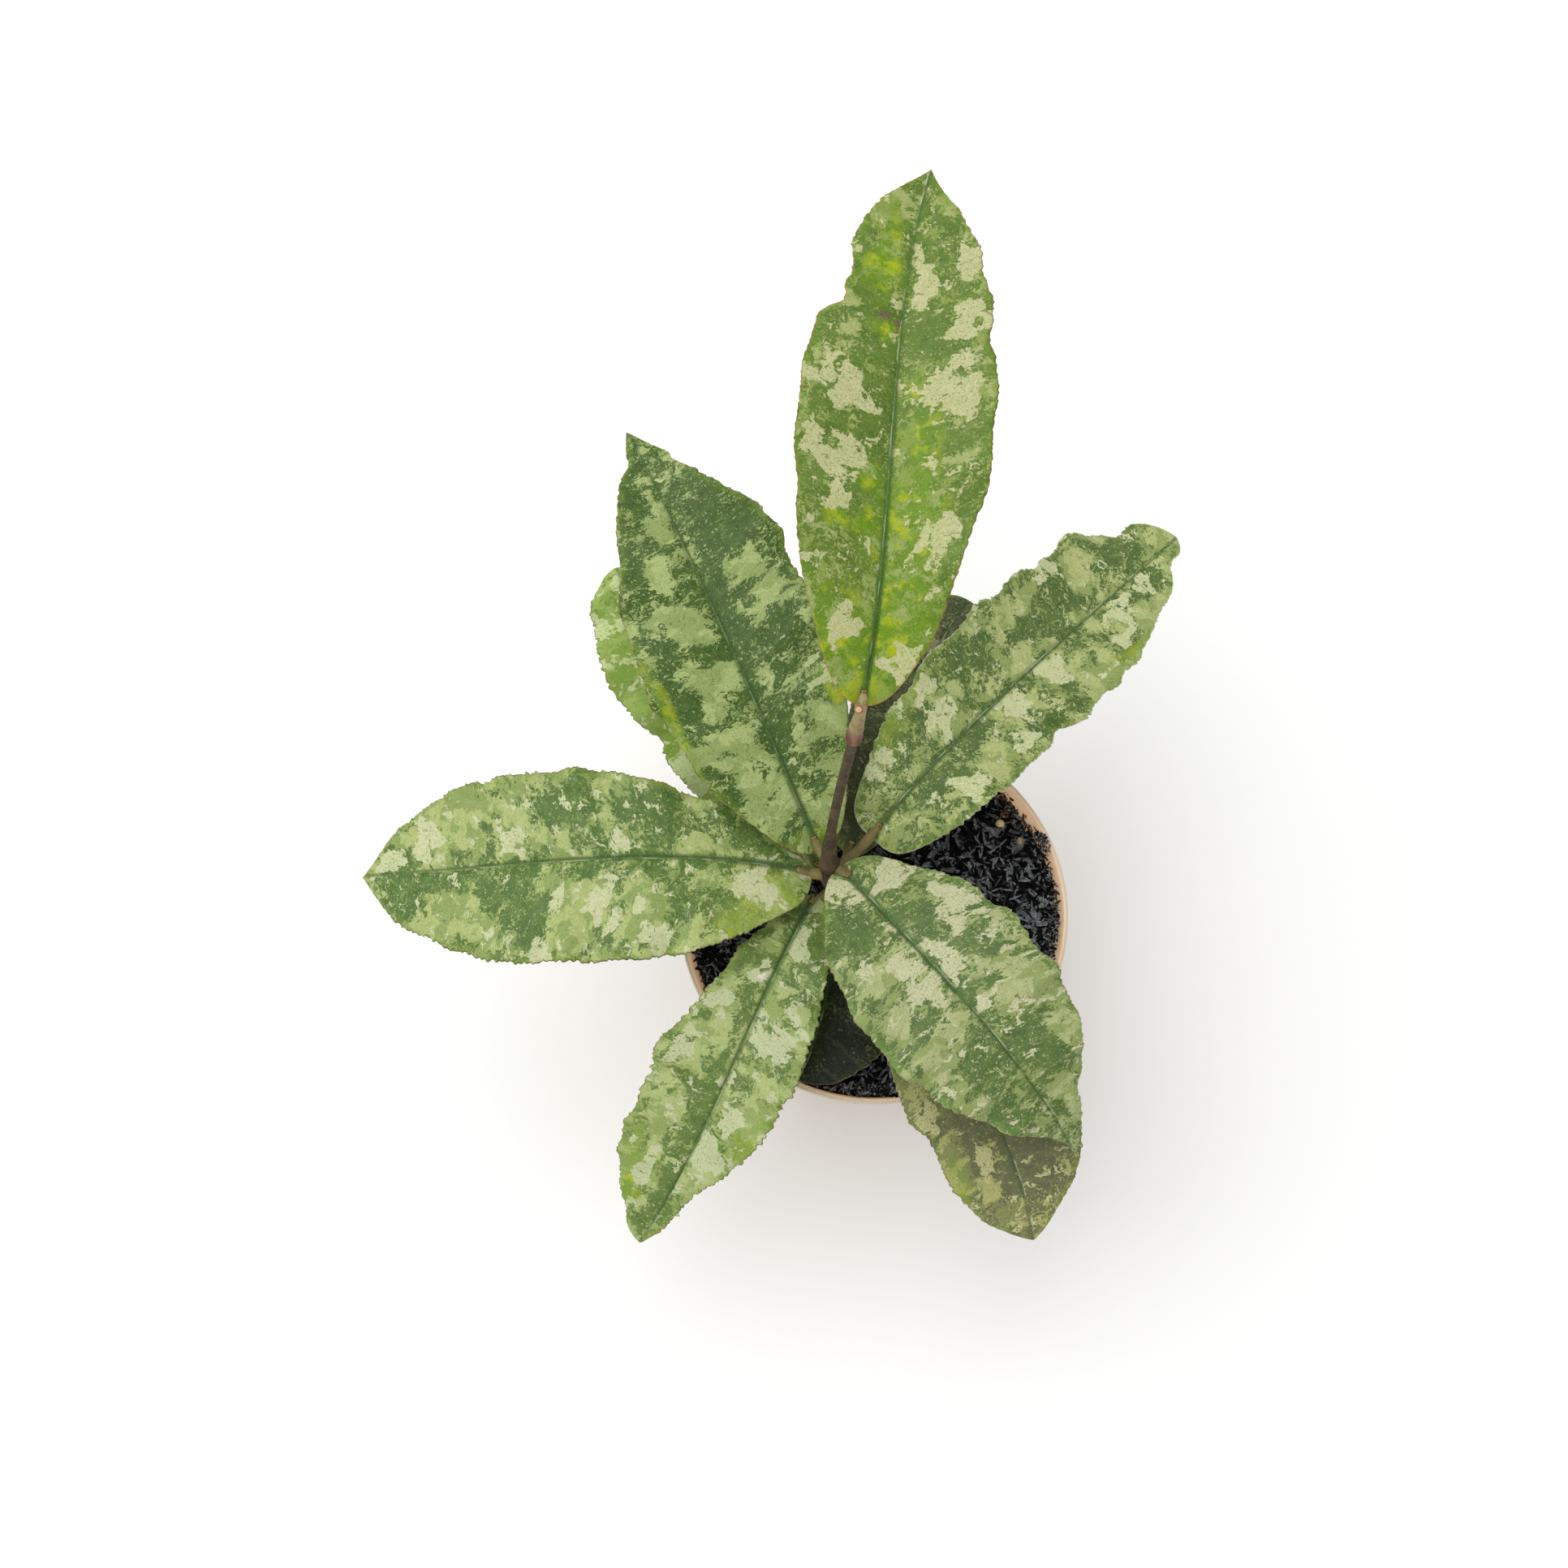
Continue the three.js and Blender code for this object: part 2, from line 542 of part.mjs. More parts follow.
// Gives a surface its thickness, half of it to each side, and closes it round its margin
function sheetSolid(points, thickness, face, margin) {
  const surface = new THREE.BufferGeometry();
  surface.setAttribute('position', new THREE.Float32BufferAttribute(points.flatMap((p) => [p.x, p.y, p.z]), 3));
  surface.setIndex(face.flat());
  surface.computeVertexNormals();
  const normals = surface.attributes.normal;
  const vertices = [];
  for (const half of [0.5, -0.5]) {
    points.forEach((point, i) => {
      const normal = new THREE.Vector3().fromBufferAttribute(normals, i);
      const moved = point.clone().addScaledVector(normal, half * thickness[i]);
      vertices.push(moved.x, moved.y, moved.z);
    });
  }
  const under = points.length;
  const triangles = [];
  for (const [a, b, c] of face) {
    triangles.push(a, b, c, a + under, c + under, b + under);
  }
  margin.forEach((a, i) => {
    const b = margin[(i + 1) % margin.length];
    triangles.push(a, b, b + under, a, b + under, a + under);
  });
  const shell = new THREE.BufferGeometry();
  shell.setAttribute('position', new THREE.Float32BufferAttribute(vertices, 3));
  shell.setIndex(triangles);
  return toSolid(shell);
}

// The middle of the stem at a height
function stemAxisAt(z) {
  const samples = stemCurve.getSpacedPoints(STEM_SAMPLES);
  return samples.reduce((best, next) => (Math.abs(next.z - z) < Math.abs(best.z - z) ? next : best));
}

// The petiole runs from just off its stem node to the blade's base and on under the midrib, where it thins out
function petioleSolid(leaf, curve) {
  const base = curve.getPointAt(0);
  const node = stemAxisAt(leaf.node);
  const atTop = leaf.node === STEM_TOP;
  const outward = atTop ? stemCurve.getTangentAt(1) : base.clone().sub(node).normalize();
  const clear = atTop ? FIT_GAP : STEM_FOOT_RADIUS + NODE_SWELLING + FIT_GAP;
  const start = node.clone().addScaledVector(outward, clear);
  const reach = start.distanceTo(base);
  const elbow = start.clone().addScaledVector(outward, reach / 2).addScaledVector(up, -reach * PETIOLE_SAG);
  const route = [start, elbow];
  for (const distance of [0, PETIOLE_UNDER_BLADE / 2, PETIOLE_UNDER_BLADE]) {
    const { origin, face } = midribFrame(leaf, curve, distance);
    const sunk = leaf.petioleRadius * blend(...PETIOLE_SINK, distance / PETIOLE_UNDER_BLADE);
    route.push(origin.addScaledVector(face, -sunk));
  }
  const path = new THREE.CatmullRomCurve3(route);
  const thin = PETIOLE_UNDER_BLADE / path.getLength();
  return tube(path, PETIOLE_RINGS, PETIOLE_SIDES, (along) => {
    const tail = THREE.MathUtils.smoothstep(along, 1 - thin, 1);
    return leaf.petioleRadius * blend(1, PETIOLE_TAIL, tail);
  });
}

function leafSolid(leaf) {
  const curve = new THREE.CubicBezierCurve3(...leaf.midrib.map(vector));
  return largestPiece(bladeSolid(leaf, curve).add(petioleSolid(leaf, curve)));
}

const plant = new THREE.Group();
plant.add(piece('pot', potSolid(), POT_COLOR, 0.55));
plant.add(piece('potting_mix', mixSolid(), MIX_COLOR, 0.85));
plant.add(piece('main_stem', largestPiece(stemSolid(0)), STEM_COLOR, 0.6));
for (const leaf of LEAVES) {
  plant.add(piece(leaf.name, leafSolid(leaf), LEAF_COLOR, 0.45));
}
for (const bead of BEADS) {
  plant.add(piece(bead.name, beadSolid(bead, 0), bead.color, 0.5));
}

export default plant;
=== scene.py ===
# %% [markdown]
# A splash-leaved hoya in its nursery pot
#
# The plant is a young climber: ten leathery leaves on one stem, in a tan plastic pot of charred rice husk.
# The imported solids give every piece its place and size. This lesson makes the fine surface of each piece,
# its colours and the light. Lengths are in millimetres wherever a name doesn't say otherwise, and they are
# turned into Blender's metres as the last step of each piece.

# %% The frame
import math

import bpy
import numpy as np
from mathutils import Matrix, Vector


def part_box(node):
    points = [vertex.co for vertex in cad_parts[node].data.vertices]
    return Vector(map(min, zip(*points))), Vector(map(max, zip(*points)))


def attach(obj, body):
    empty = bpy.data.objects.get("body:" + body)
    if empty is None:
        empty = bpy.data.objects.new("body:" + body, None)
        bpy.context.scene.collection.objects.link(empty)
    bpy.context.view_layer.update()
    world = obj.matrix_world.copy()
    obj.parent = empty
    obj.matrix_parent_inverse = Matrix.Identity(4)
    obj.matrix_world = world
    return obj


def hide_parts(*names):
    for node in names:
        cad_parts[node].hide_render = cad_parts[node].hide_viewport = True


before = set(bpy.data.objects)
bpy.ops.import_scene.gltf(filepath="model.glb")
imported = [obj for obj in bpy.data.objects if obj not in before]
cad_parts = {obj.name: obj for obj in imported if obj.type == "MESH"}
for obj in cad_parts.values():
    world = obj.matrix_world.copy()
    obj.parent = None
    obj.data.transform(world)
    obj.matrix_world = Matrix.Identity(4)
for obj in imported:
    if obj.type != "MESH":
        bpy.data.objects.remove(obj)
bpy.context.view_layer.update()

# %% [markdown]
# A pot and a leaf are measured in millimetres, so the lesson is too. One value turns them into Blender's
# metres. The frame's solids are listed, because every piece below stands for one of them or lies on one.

METRES = 0.001
TAU = 2 * math.pi
print("solids:", ", ".join(sorted(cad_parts)))

# %% [markdown]
# The camera looks steeply down on the plant. Its place and lens come from the pot: the rim is a circle of
# known size, so the ellipse that it makes in the photograph gives the tilt and the distance.

# %% The camera
CAMERA_PLACE = Vector((-26.5, -189.8, 816.4))
CAMERA_TILT = math.radians(17.5)
CAMERA_LENS = 58.3
SENSOR = 36.0


def make_camera():
    data = bpy.data.cameras.new("camera")
    data.lens = CAMERA_LENS
    data.sensor_width = SENSOR
    camera = bpy.data.objects.new("camera", data)
    camera.location = CAMERA_PLACE * METRES
    camera.rotation_euler = (CAMERA_TILT, 0, 0)
    bpy.context.scene.collection.objects.link(camera)
    bpy.context.scene.camera = camera


make_camera()
print("camera looks down at", round(90 - math.degrees(CAMERA_TILT), 1), "degrees")

# %% [markdown]
# Trees of nodes are long when every node is written out. The class below wraps one output of a node. Its
# arithmetic adds the Math node, or for a vector the Vector Math node, that does the sum, so that a formula
# for a leaf reads like the formula itself. Every other node comes from one method, which sets the node's
# own settings first and then the values or links of its sockets.

# %% Formulas that write nodes
class Wire:
    """One output of a node, or of a group's inputs. Sums with it become nodes of the same tree."""

    def __init__(self, net, socket):
        self.net = net
        self.socket = socket

    def of(self, name):
        """Another output of the same node."""
        return Wire(self.net, pick(self.socket.node.outputs, name))

    def sum(self, operation, *terms):
        vectors = [t for t in terms if is_vector(t)]
        if not vectors:
            return self.net.node("ShaderNodeMath", {"operation": operation}, dict(enumerate(terms)))
        if operation == "MULTIPLY" and len(vectors) == 1:
            factor = next(t for t in terms if t is not vectors[0])
            return self.net.node("ShaderNodeVectorMath", {"operation": "SCALE"},
                                 {"Vector": vectors[0], "Scale": factor})
        return self.net.node("ShaderNodeVectorMath", {"operation": operation}, dict(enumerate(terms)))

    def __add__(self, other):
        return self.sum("ADD", self, other)

    def __radd__(self, other):
        return self.sum("ADD", other, self)

    def __sub__(self, other):
        return self.sum("SUBTRACT", self, other)

    def __rsub__(self, other):
        return self.sum("SUBTRACT", other, self)

    def __mul__(self, other):
        return self.sum("MULTIPLY", self, other)

    def __rmul__(self, other):
        return self.sum("MULTIPLY", other, self)

    def __truediv__(self, other):
        return self.sum("DIVIDE", self, other)

    def __rtruediv__(self, other):
        return self.sum("DIVIDE", other, self)

    def __pow__(self, other):
        return self.sum("POWER", self, other)

    def sin(self):
        return self.sum("SINE", self)

    def cos(self):
        return self.sum("COSINE", self)

    def exp(self):
        return self.sum("EXPONENT", self)

    def abs(self):
        return self.sum("ABSOLUTE", self)

    def sign(self):
        return self.sum("SIGN", self)

    def floor(self):
        return self.sum("FLOOR", self)

    def above(self, limit):
        return self.sum("GREATER_THAN", self, limit)

    def at_least(self, limit):
        return self.sum("MAXIMUM", self, limit)

    def at_most(self, limit):
        return self.sum("MINIMUM", self, limit)

    def cross(self, other):
        return self.sum("CROSS_PRODUCT", self, other)

    def unit(self):
        return self.sum("NORMALIZE", self)

    def dot(self, other):
        return self.sum("DOT_PRODUCT", self, other).of("Value")

    def xyz(self):
        parts = self.net.node("ShaderNodeSeparateXYZ", {}, {"Vector": self})
        return parts, parts.of("Y"), parts.of("Z")

    def ramp(self, start, end):
        """0 up to start, 1 from end on, and an easy rise between them."""
        return self.net.node("ShaderNodeMapRange", {"interpolation_type": "SMOOTHSTEP"},
                             {"Value": self, "From Min": start, "From Max": end})

    def blend(self, low, high):
        """low where this is 0 and high where it is 1."""
        return low + (high - low) * self


def is_vector(term):
    if isinstance(term, Wire):
        return term.socket.type in ("VECTOR", "RGBA")
    return isinstance(term, (tuple, Vector))


def pick(sockets, key):
    """A socket by its number, or the one in use that has a name."""
    if isinstance(key, int):
        return sockets[key]
    return next(s for s in sockets if s.name == key and s.enabled)


class Net:
    """A tree of nodes that is written in Python."""

    def __init__(self, tree):
        self.tree = tree

    def node(self, kind, settings=None, values=None):
        node = self.tree.nodes.new(kind)
        for name, value in (settings or {}).items():
            setattr(node, name, value)
        for key, value in (values or {}).items():
            socket = pick(node.inputs, key)
            if isinstance(value, Wire):
                self.tree.links.new(value.socket, socket)
            else:
                socket.default_value = value
        outputs = [s for s in node.outputs if s.enabled]
        return Wire(self, outputs[0]) if outputs else node

    def vector(self, x, y, z):
        return self.node("ShaderNodeCombineXYZ", {}, {"X": x, "Y": y, "Z": z})

    def noise(self, place, detail=2.0, roughness=0.5, scale=1.0):
        """Cloudy noise about 0, mostly between -0.5 and 0.5."""
        values = {"Vector": place, "Scale": scale, "Detail": detail, "Roughness": roughness}
        return self.node("ShaderNodeTexNoise", {}, values) - 0.5

    def colours(self, factor, low, high):
        """One colour laid over another."""
        return self.node("ShaderNodeMix", {"data_type": "RGBA"}, {"Factor": factor, "A": low, "B": high})


def colour(red, green, blue):
    """A colour as it is read off a screen, 0 to 255, turned into the light that Blender mixes."""
    channels = [c / 255 for c in (red, green, blue)]
    linear = [c / 12.92 if c < 0.04045 else ((c + 0.055) / 1.055) ** 2.4 for c in channels]
    return (*linear, 1.0)


print("a leaf green as light:", [round(c, 3) for c in colour(110, 138, 72)])

# %% [markdown]
# Geometry Nodes build most pieces. A tree is a group with named inputs. It is put on a mesh object as a
# modifier, its inputs are set by their identifiers, and the result is taken as a plain mesh. The modifier
# never stays: a finished piece is a mesh at the origin.

# %% Trees that become pieces
SOCKETS = {float: "NodeSocketFloat", int: "NodeSocketInt", Vector: "NodeSocketVector",
           bpy.types.Material: "NodeSocketMaterial"}


def geometry_net(name, inputs):
    """A Geometry Nodes group with named inputs, and the wires that bring them in."""
    tree = bpy.data.node_groups.new(name, "GeometryNodeTree")
    tree.interface.new_socket("Geometry", in_out="INPUT", socket_type="NodeSocketGeometry")
    tree.interface.new_socket("Geometry", in_out="OUTPUT", socket_type="NodeSocketGeometry")
    for title, kind in inputs.items():
        tree.interface.new_socket(title, in_out="INPUT", socket_type=SOCKETS[kind])
    net = Net(tree)
    source = net.node("NodeGroupInput")
    return net, {title: source.of(title) for title in ["Geometry", *inputs]}


def finish_net(net, geometry, *finishes):
    """Ends a tree: millimetres to metres, instances made real, and then the finishes, one over another."""
    sized = net.node("GeometryNodeTransform", {}, {"Geometry": geometry, "Scale": (METRES,) * 3})
    real = net.node("GeometryNodeRealizeInstances", {}, {"Geometry": sized})
    for material, part in finishes:
        values = {"Geometry": real, "Selection": part, "Material": material}
        real = net.node("GeometryNodeSetMaterial", {}, values)
    net.node("NodeGroupOutput", {}, {"Geometry": real})


def grow(name, tree, values, points=(), edges=(), numbers=None, mesh=None):
    """Runs a tree on a starting mesh and gives the result as a new object with a plain mesh.

    The start is a mesh, or points with edges, each point with the numbers that the tree reads by name."""
    start = mesh or bpy.data.meshes.new(name + " start")
    if mesh is None:
        start.from_pydata([tuple(p) for p in points], list(edges), [])
    for title, each in (numbers or {}).items():
        column = start.attributes.new(title, "FLOAT", "POINT")
        column.data.foreach_set("value", np.array(each, np.float32))
    seed = bpy.data.objects.new(name + " start", start)
    bpy.context.scene.collection.objects.link(seed)
    modifier = seed.modifiers.new("tree", "NODES")
    modifier.node_group = tree
    for item in tree.interface.items_tree:
        if item.in_out == "INPUT" and item.name in values:
            modifier[item.identifier] = values[item.name]
    ready = seed.evaluated_get(bpy.context.evaluated_depsgraph_get())
    mesh = bpy.data.meshes.new_from_object(ready)
    mesh.name = name
    seed.modifiers.remove(modifier)
    bpy.data.objects.remove(seed)
    piece = bpy.data.objects.new(name, mesh)
    bpy.context.scene.collection.objects.link(piece)
    return piece


def settle(piece, slot, *nodes):
    """Hangs a piece on the root body, hides the solids that it stands for and prints its triangles. The slot
    is not used.
    """
    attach(piece, "root")
    if nodes:
        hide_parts(*nodes)
    triangles = sum(len(p.vertices) - 2 for p in piece.data.polygons)
    print(piece.name, triangles, "triangles")


print("a tree's inputs can be", ", ".join(kind.__name__ for kind in SOCKETS))

# %% [markdown]
# One leaf is a stiff, leathery sheet: folded up a little along its midrib, waved at the edge, with a groove
# along the midrib on top and a keel below. Drawing ten of them one by one would hide what they share, so one
# tree holds the rule and each leaf gives it its own numbers. The midrib is a curve through space; at each
# share of its length the rule gives the half width on both sides, and each point across is set out from the
# midrib, turned up by the fold, curled, and lifted by the wave of the edge.

# %% The rule for a blade
VEIN_SWEEP = 0.32
VEIN_SWEEP_FROM = 0.3
LOBE_REACH = 0.055
SCALLOP = 0.025
WAVE_UNEVENNESS = 0.7
WAVE_DRIFT = 0.6
ROW_CROWDING = 0.55
COLUMN_CROWDING = 0.5
MARGIN_MERGE = 0.004
BLADE_MIDDLE_THICKNESS = 1.2
BLADE_EDGE_THICKNESS = 0.7
GROOVE_DEPTH = 0.55
GROOVE_WIDTH = 1.1
KEEL_HEIGHT = 0.7
KEEL_WIDTH = 1.5
PUCKER_HEIGHT = 1.1
PUCKER_LENGTH = 13.0
VEIN_SPACING = 7.5
VEIN_QUILT = 0.16
TIP_REACH = 0.09
NOTCH_PLACES = 9

BLADE_INPUTS = {
    "Midrib Base": Vector, "Base Handle": Vector, "Tip Handle": Vector, "Midrib Tip": Vector,
    "Left": Vector, "Right": Vector, "Fold": Vector, "Curl": float, "Waves": float, "Wave Height": float,
    "Phase": Vector, "Teeth": float, "Lobe": float, "Tip Point": float, "Seed": float, "Rows": int,
    "Columns": int, "Upper Skin": bpy.types.Material, "Lower Skin": bpy.types.Material,
    **{f"Notch {number}": Vector for number in range(1, NOTCH_PLACES + 1)},
}
print(len(BLADE_INPUTS), "inputs describe a blade")

# %% [markdown]
# The half width comes first. A power of the share at each end rounds the outline, and the two numbers of a
# side say how full it is towards base and tip. Scallops follow the waves of the edge, a notch or a bulge is a
# smooth bump taken away or added at one place, and noise makes the fine, uneven teeth. The points are crowded
# towards the margin, the base and the tip, where the form changes fastest.

# %% The width of a blade
def crowd(share, amount):
    """Moves evenly spaced shares closer together towards both ends."""
    eased = (1 - (math.pi * share).cos()) / 2
    return share + (eased - share) * amount


def wave_turn(given, side, share):
    """How far the wave of the edge has turned at each share of the length. It is never quite regular."""
    left, right, _ = given["Phase"].xyz()
    turn = TAU * given["Waves"] * share + side.above(0).blend(right, left)
    return turn + WAVE_UNEVENNESS * (WAVE_DRIFT * turn).sin()


def half_width(net, given, side, share, turn, length):
    """Half width of the blade: a smooth outline, scalloped, with shallow notches and fine teeth."""
    is_left = side.above(0)
    left_width, left_base, left_tip = given["Left"].xyz()
    right_width, right_base, right_tip = given["Right"].xyz()
    widest_at = is_left.blend(right_width, left_width)
    base = is_left.blend(right_base, left_base)
    tip = is_left.blend(right_tip, left_tip)
    middle = base / (base + tip)
    outline = (share / middle) ** base * ((1 - share) / (1 - middle)) ** tip
    width = widest_at * outline * (1 + SCALLOP * (turn + 1).sin())
    for number in range(1, NOTCH_PLACES + 1):
        at, depth, reach = given[f"Notch {number}"].xyz()
        apart = (share * side - at) / reach
        width = width - depth * (-1 * apart * apart).exp()
    around = net.vector(share * length, side * 40, given["Seed"])
    ragged = net.noise(around, detail=2, roughness=0.65, scale=0.75) * 3.4
    broad = net.noise(around, detail=1, scale=0.14) * 1.2
    to_tip = ((1 - share) / TIP_REACH).at_most(1)
    width = width + (ragged + broad) * given["Teeth"] * share.ramp(0.02, 0.1) * to_tip
    return (width * to_tip ** given["Tip Point"]).at_least(0)


# %% [markdown]
# The rest of the rule sets each point out from the midrib. The frame at a place on the midrib is made of the
# curve's own direction and of the way that is most nearly up, so that no blade twists. Puckers, the quilting
# between the side veins and the groove lift or lower the skin. In the end the sheet is doubled: one copy goes
# up, the other goes down and is turned over, and the two are merged along the margin into a closed blade.

# %% The blade's tree
def keep(net, mesh, kind, **values):
    """Stores values on the points of a mesh under their own names."""
    for name, value in values.items():
        mesh = net.node("GeometryNodeStoreNamedAttribute", {"data_type": kind, "domain": "POINT"},
                        {"Geometry": mesh, "Name": name, "Value": value})
    return mesh


def midrib_frame(net, midrib, length, distance):
    """The place at a distance along the midrib, the way to its left and the way out of its face."""
    held = distance.at_least(0).at_most(length)
    sample = net.node("GeometryNodeSampleCurve", {"mode": "LENGTH", "data_type": "FLOAT"},
                      {"Curves": midrib, "Length": held}).of("Position")
    along = sample.of("Tangent").unit()
    origin = sample + along * (distance - held)
    up = net.vector(0.0, 0.0, 1.0)
    face = (up - along * along.dot(up)).unit()
    return origin, face.cross(along), face


def skin_lift(net, wave, leaf_place, side, share, across, out_mm, along_mm):
    """The wave with the puckers of the blade, the quilting between its veins and the midrib's groove."""
    away = 1 - (-1 * (out_mm / 5) * (out_mm / 5)).exp()
    ends = (math.pi * share).sin()
    pucker = PUCKER_HEIGHT * net.noise(leaf_place, detail=2, scale=1 / PUCKER_LENGTH) * away * ends
    vein = ((along_mm - 0.15 * out_mm) / VEIN_SPACING * TAU + side * 1.4).cos()
    quilt = VEIN_QUILT * vein * away * ends * (1 - across ** 3)
    groove = GROOVE_DEPTH * (-1 * (out_mm / GROOVE_WIDTH) ** 2).exp() * share.ramp(0, 0.03)
    return wave + pucker - quilt - groove * (1 - share.ramp(0.75, 1))


def skin_distances(share, across, out_mm):
    """How far the upper skin lies above the sheet, and the lower one, with its keel, below it."""
    rounded = (1 - across ** 16).at_least(0) ** 0.5
    thickness = (across ** 0.5).blend(BLADE_MIDDLE_THICKNESS, BLADE_EDGE_THICKNESS) * rounded
    thickness = thickness * share.ramp(0, 0.02) * (1 - share.ramp(0.985, 1))
    keel = KEEL_HEIGHT * (-1 * (out_mm / KEEL_WIDTH) ** 2).exp() * share.ramp(0, 0.04) * (1 - share ** 2)
    return thickness / 2, thickness / 2 + keel


def two_skins(net, sheet):
    """Doubles the sheet into an upper and a lower skin that meet at the margin."""
    normal = net.node("GeometryNodeInputNormal")
    half = net.node("GeometryNodeInputNamedAttribute", {"data_type": "FLOAT"}, {"Name": "half"})
    under = net.node("GeometryNodeInputNamedAttribute", {"data_type": "FLOAT"}, {"Name": "under"})
    top = net.node("GeometryNodeSetPosition", {}, {"Geometry": sheet, "Offset": normal * half})
    top = net.node("GeometryNodeStoreNamedAttribute", {"data_type": "BOOLEAN", "domain": "FACE"},
                   {"Geometry": top, "Name": "upper", "Value": True})
    below = net.node("GeometryNodeSetPosition", {}, {"Geometry": sheet, "Offset": normal * (-1 * under)})
    below = net.node("GeometryNodeFlipFaces", {}, {"Mesh": below})
    both = net.node("GeometryNodeJoinGeometry")
    net.tree.links.new(top.socket, both.socket.node.inputs[0])
    net.tree.links.new(below.socket, both.socket.node.inputs[0])
    closed = net.node("GeometryNodeMergeByDistance", {}, {"Geometry": both, "Distance": MARGIN_MERGE})
    return net.node("GeometryNodeSetShadeSmooth", {}, {"Geometry": closed, "Shade Smooth": True})


def blade_net():
    net, given = geometry_net("leaf blade", BLADE_INPUTS)
    counts = {"Vertices X": given["Columns"], "Vertices Y": given["Rows"]}
    grid = net.node("GeometryNodeMeshGrid", {}, {"Size X": 2.0, "Size Y": 1.0, **counts})
    x, y, _ = net.node("GeometryNodeInputPosition").xyz()
    side = (-1 * x).sign()
    across = crowd(x.abs(), COLUMN_CROWDING)
    share = crowd(y + 0.5, ROW_CROWDING)

    midrib = net.node("GeometryNodeCurvePrimitiveBezierSegment", {"mode": "POSITION"}, {
        "Resolution": 96, "Start": given["Midrib Base"], "Start Handle": given["Base Handle"],
        "End Handle": given["Tip Handle"], "End": given["Midrib Tip"]})
    length = net.node("GeometryNodeCurveLength", {}, {"Curve": midrib})
    turn = wave_turn(given, side, share)
    width = half_width(net, given, side, share, turn, length)
    out_mm = width * across
    along_mm = share * length
    lobe = given["Lobe"] * (-1 * (share / LOBE_REACH) ** 2).exp()
    sweep = VEIN_SWEEP * out_mm * (1 - share) * share.ramp(0, VEIN_SWEEP_FROM)
    origin, left, face = midrib_frame(net, midrib, length, along_mm - lobe * across + sweep)

    fold_base, fold_tip, _ = given["Fold"].xyz()
    fold = math.radians(1) * share.blend(fold_base, fold_tip)
    curl = math.radians(1) * given["Curl"]
    chord = fold + curl * across / 2
    slope = fold + curl * across
    swing = turn.sin() * (math.pi * share).sin() ** 0.5
    wave = given["Wave Height"] * across * across * swing
    leaf_place = net.vector(out_mm * side, along_mm, given["Seed"] * 7.0)
    lift = skin_lift(net, wave, leaf_place, side, share, across, out_mm, along_mm)
    place = (origin + left * (side * (out_mm * chord.cos() - wave * slope.sin()))
             + face * (out_mm * chord.sin() + lift * slope.cos()))

    rim = net.vector(width * (1 - across), across, share)
    sheet = keep(net, grid, "FLOAT_VECTOR", place=leaf_place, rim=rim)
    half, under = skin_distances(share, across, out_mm)
    sheet = keep(net, sheet, "FLOAT", half=half, under=under)
    sheet = net.node("GeometryNodeSetPosition", {}, {"Geometry": sheet, "Position": place})
    upper = net.node("GeometryNodeInputNamedAttribute", {"data_type": "BOOLEAN"}, {"Name": "upper"})
    finish_net(net, two_skins(net, sheet), (given["Lower Skin"], True), (given["Upper Skin"], upper))
    return net.tree


blade_tree = blade_net()
print("the blade tree has", len(blade_tree.nodes), "nodes")

# %% [markdown]
# The ten leaves. Each row gives the four points of the midrib, the half width with the two numbers that shape
# the outline on the left and on the right, the fold at base and tip, the curl, the waves of the edge, and the
# shallow notches: where each one is as a share of the length, how deep it is and how far it reaches. A notch
# at a share below 0 is on the right, and one with a depth below 0 is a bulge. They repeat the values of the
# solids, so that each finer blade lies where its solid does.

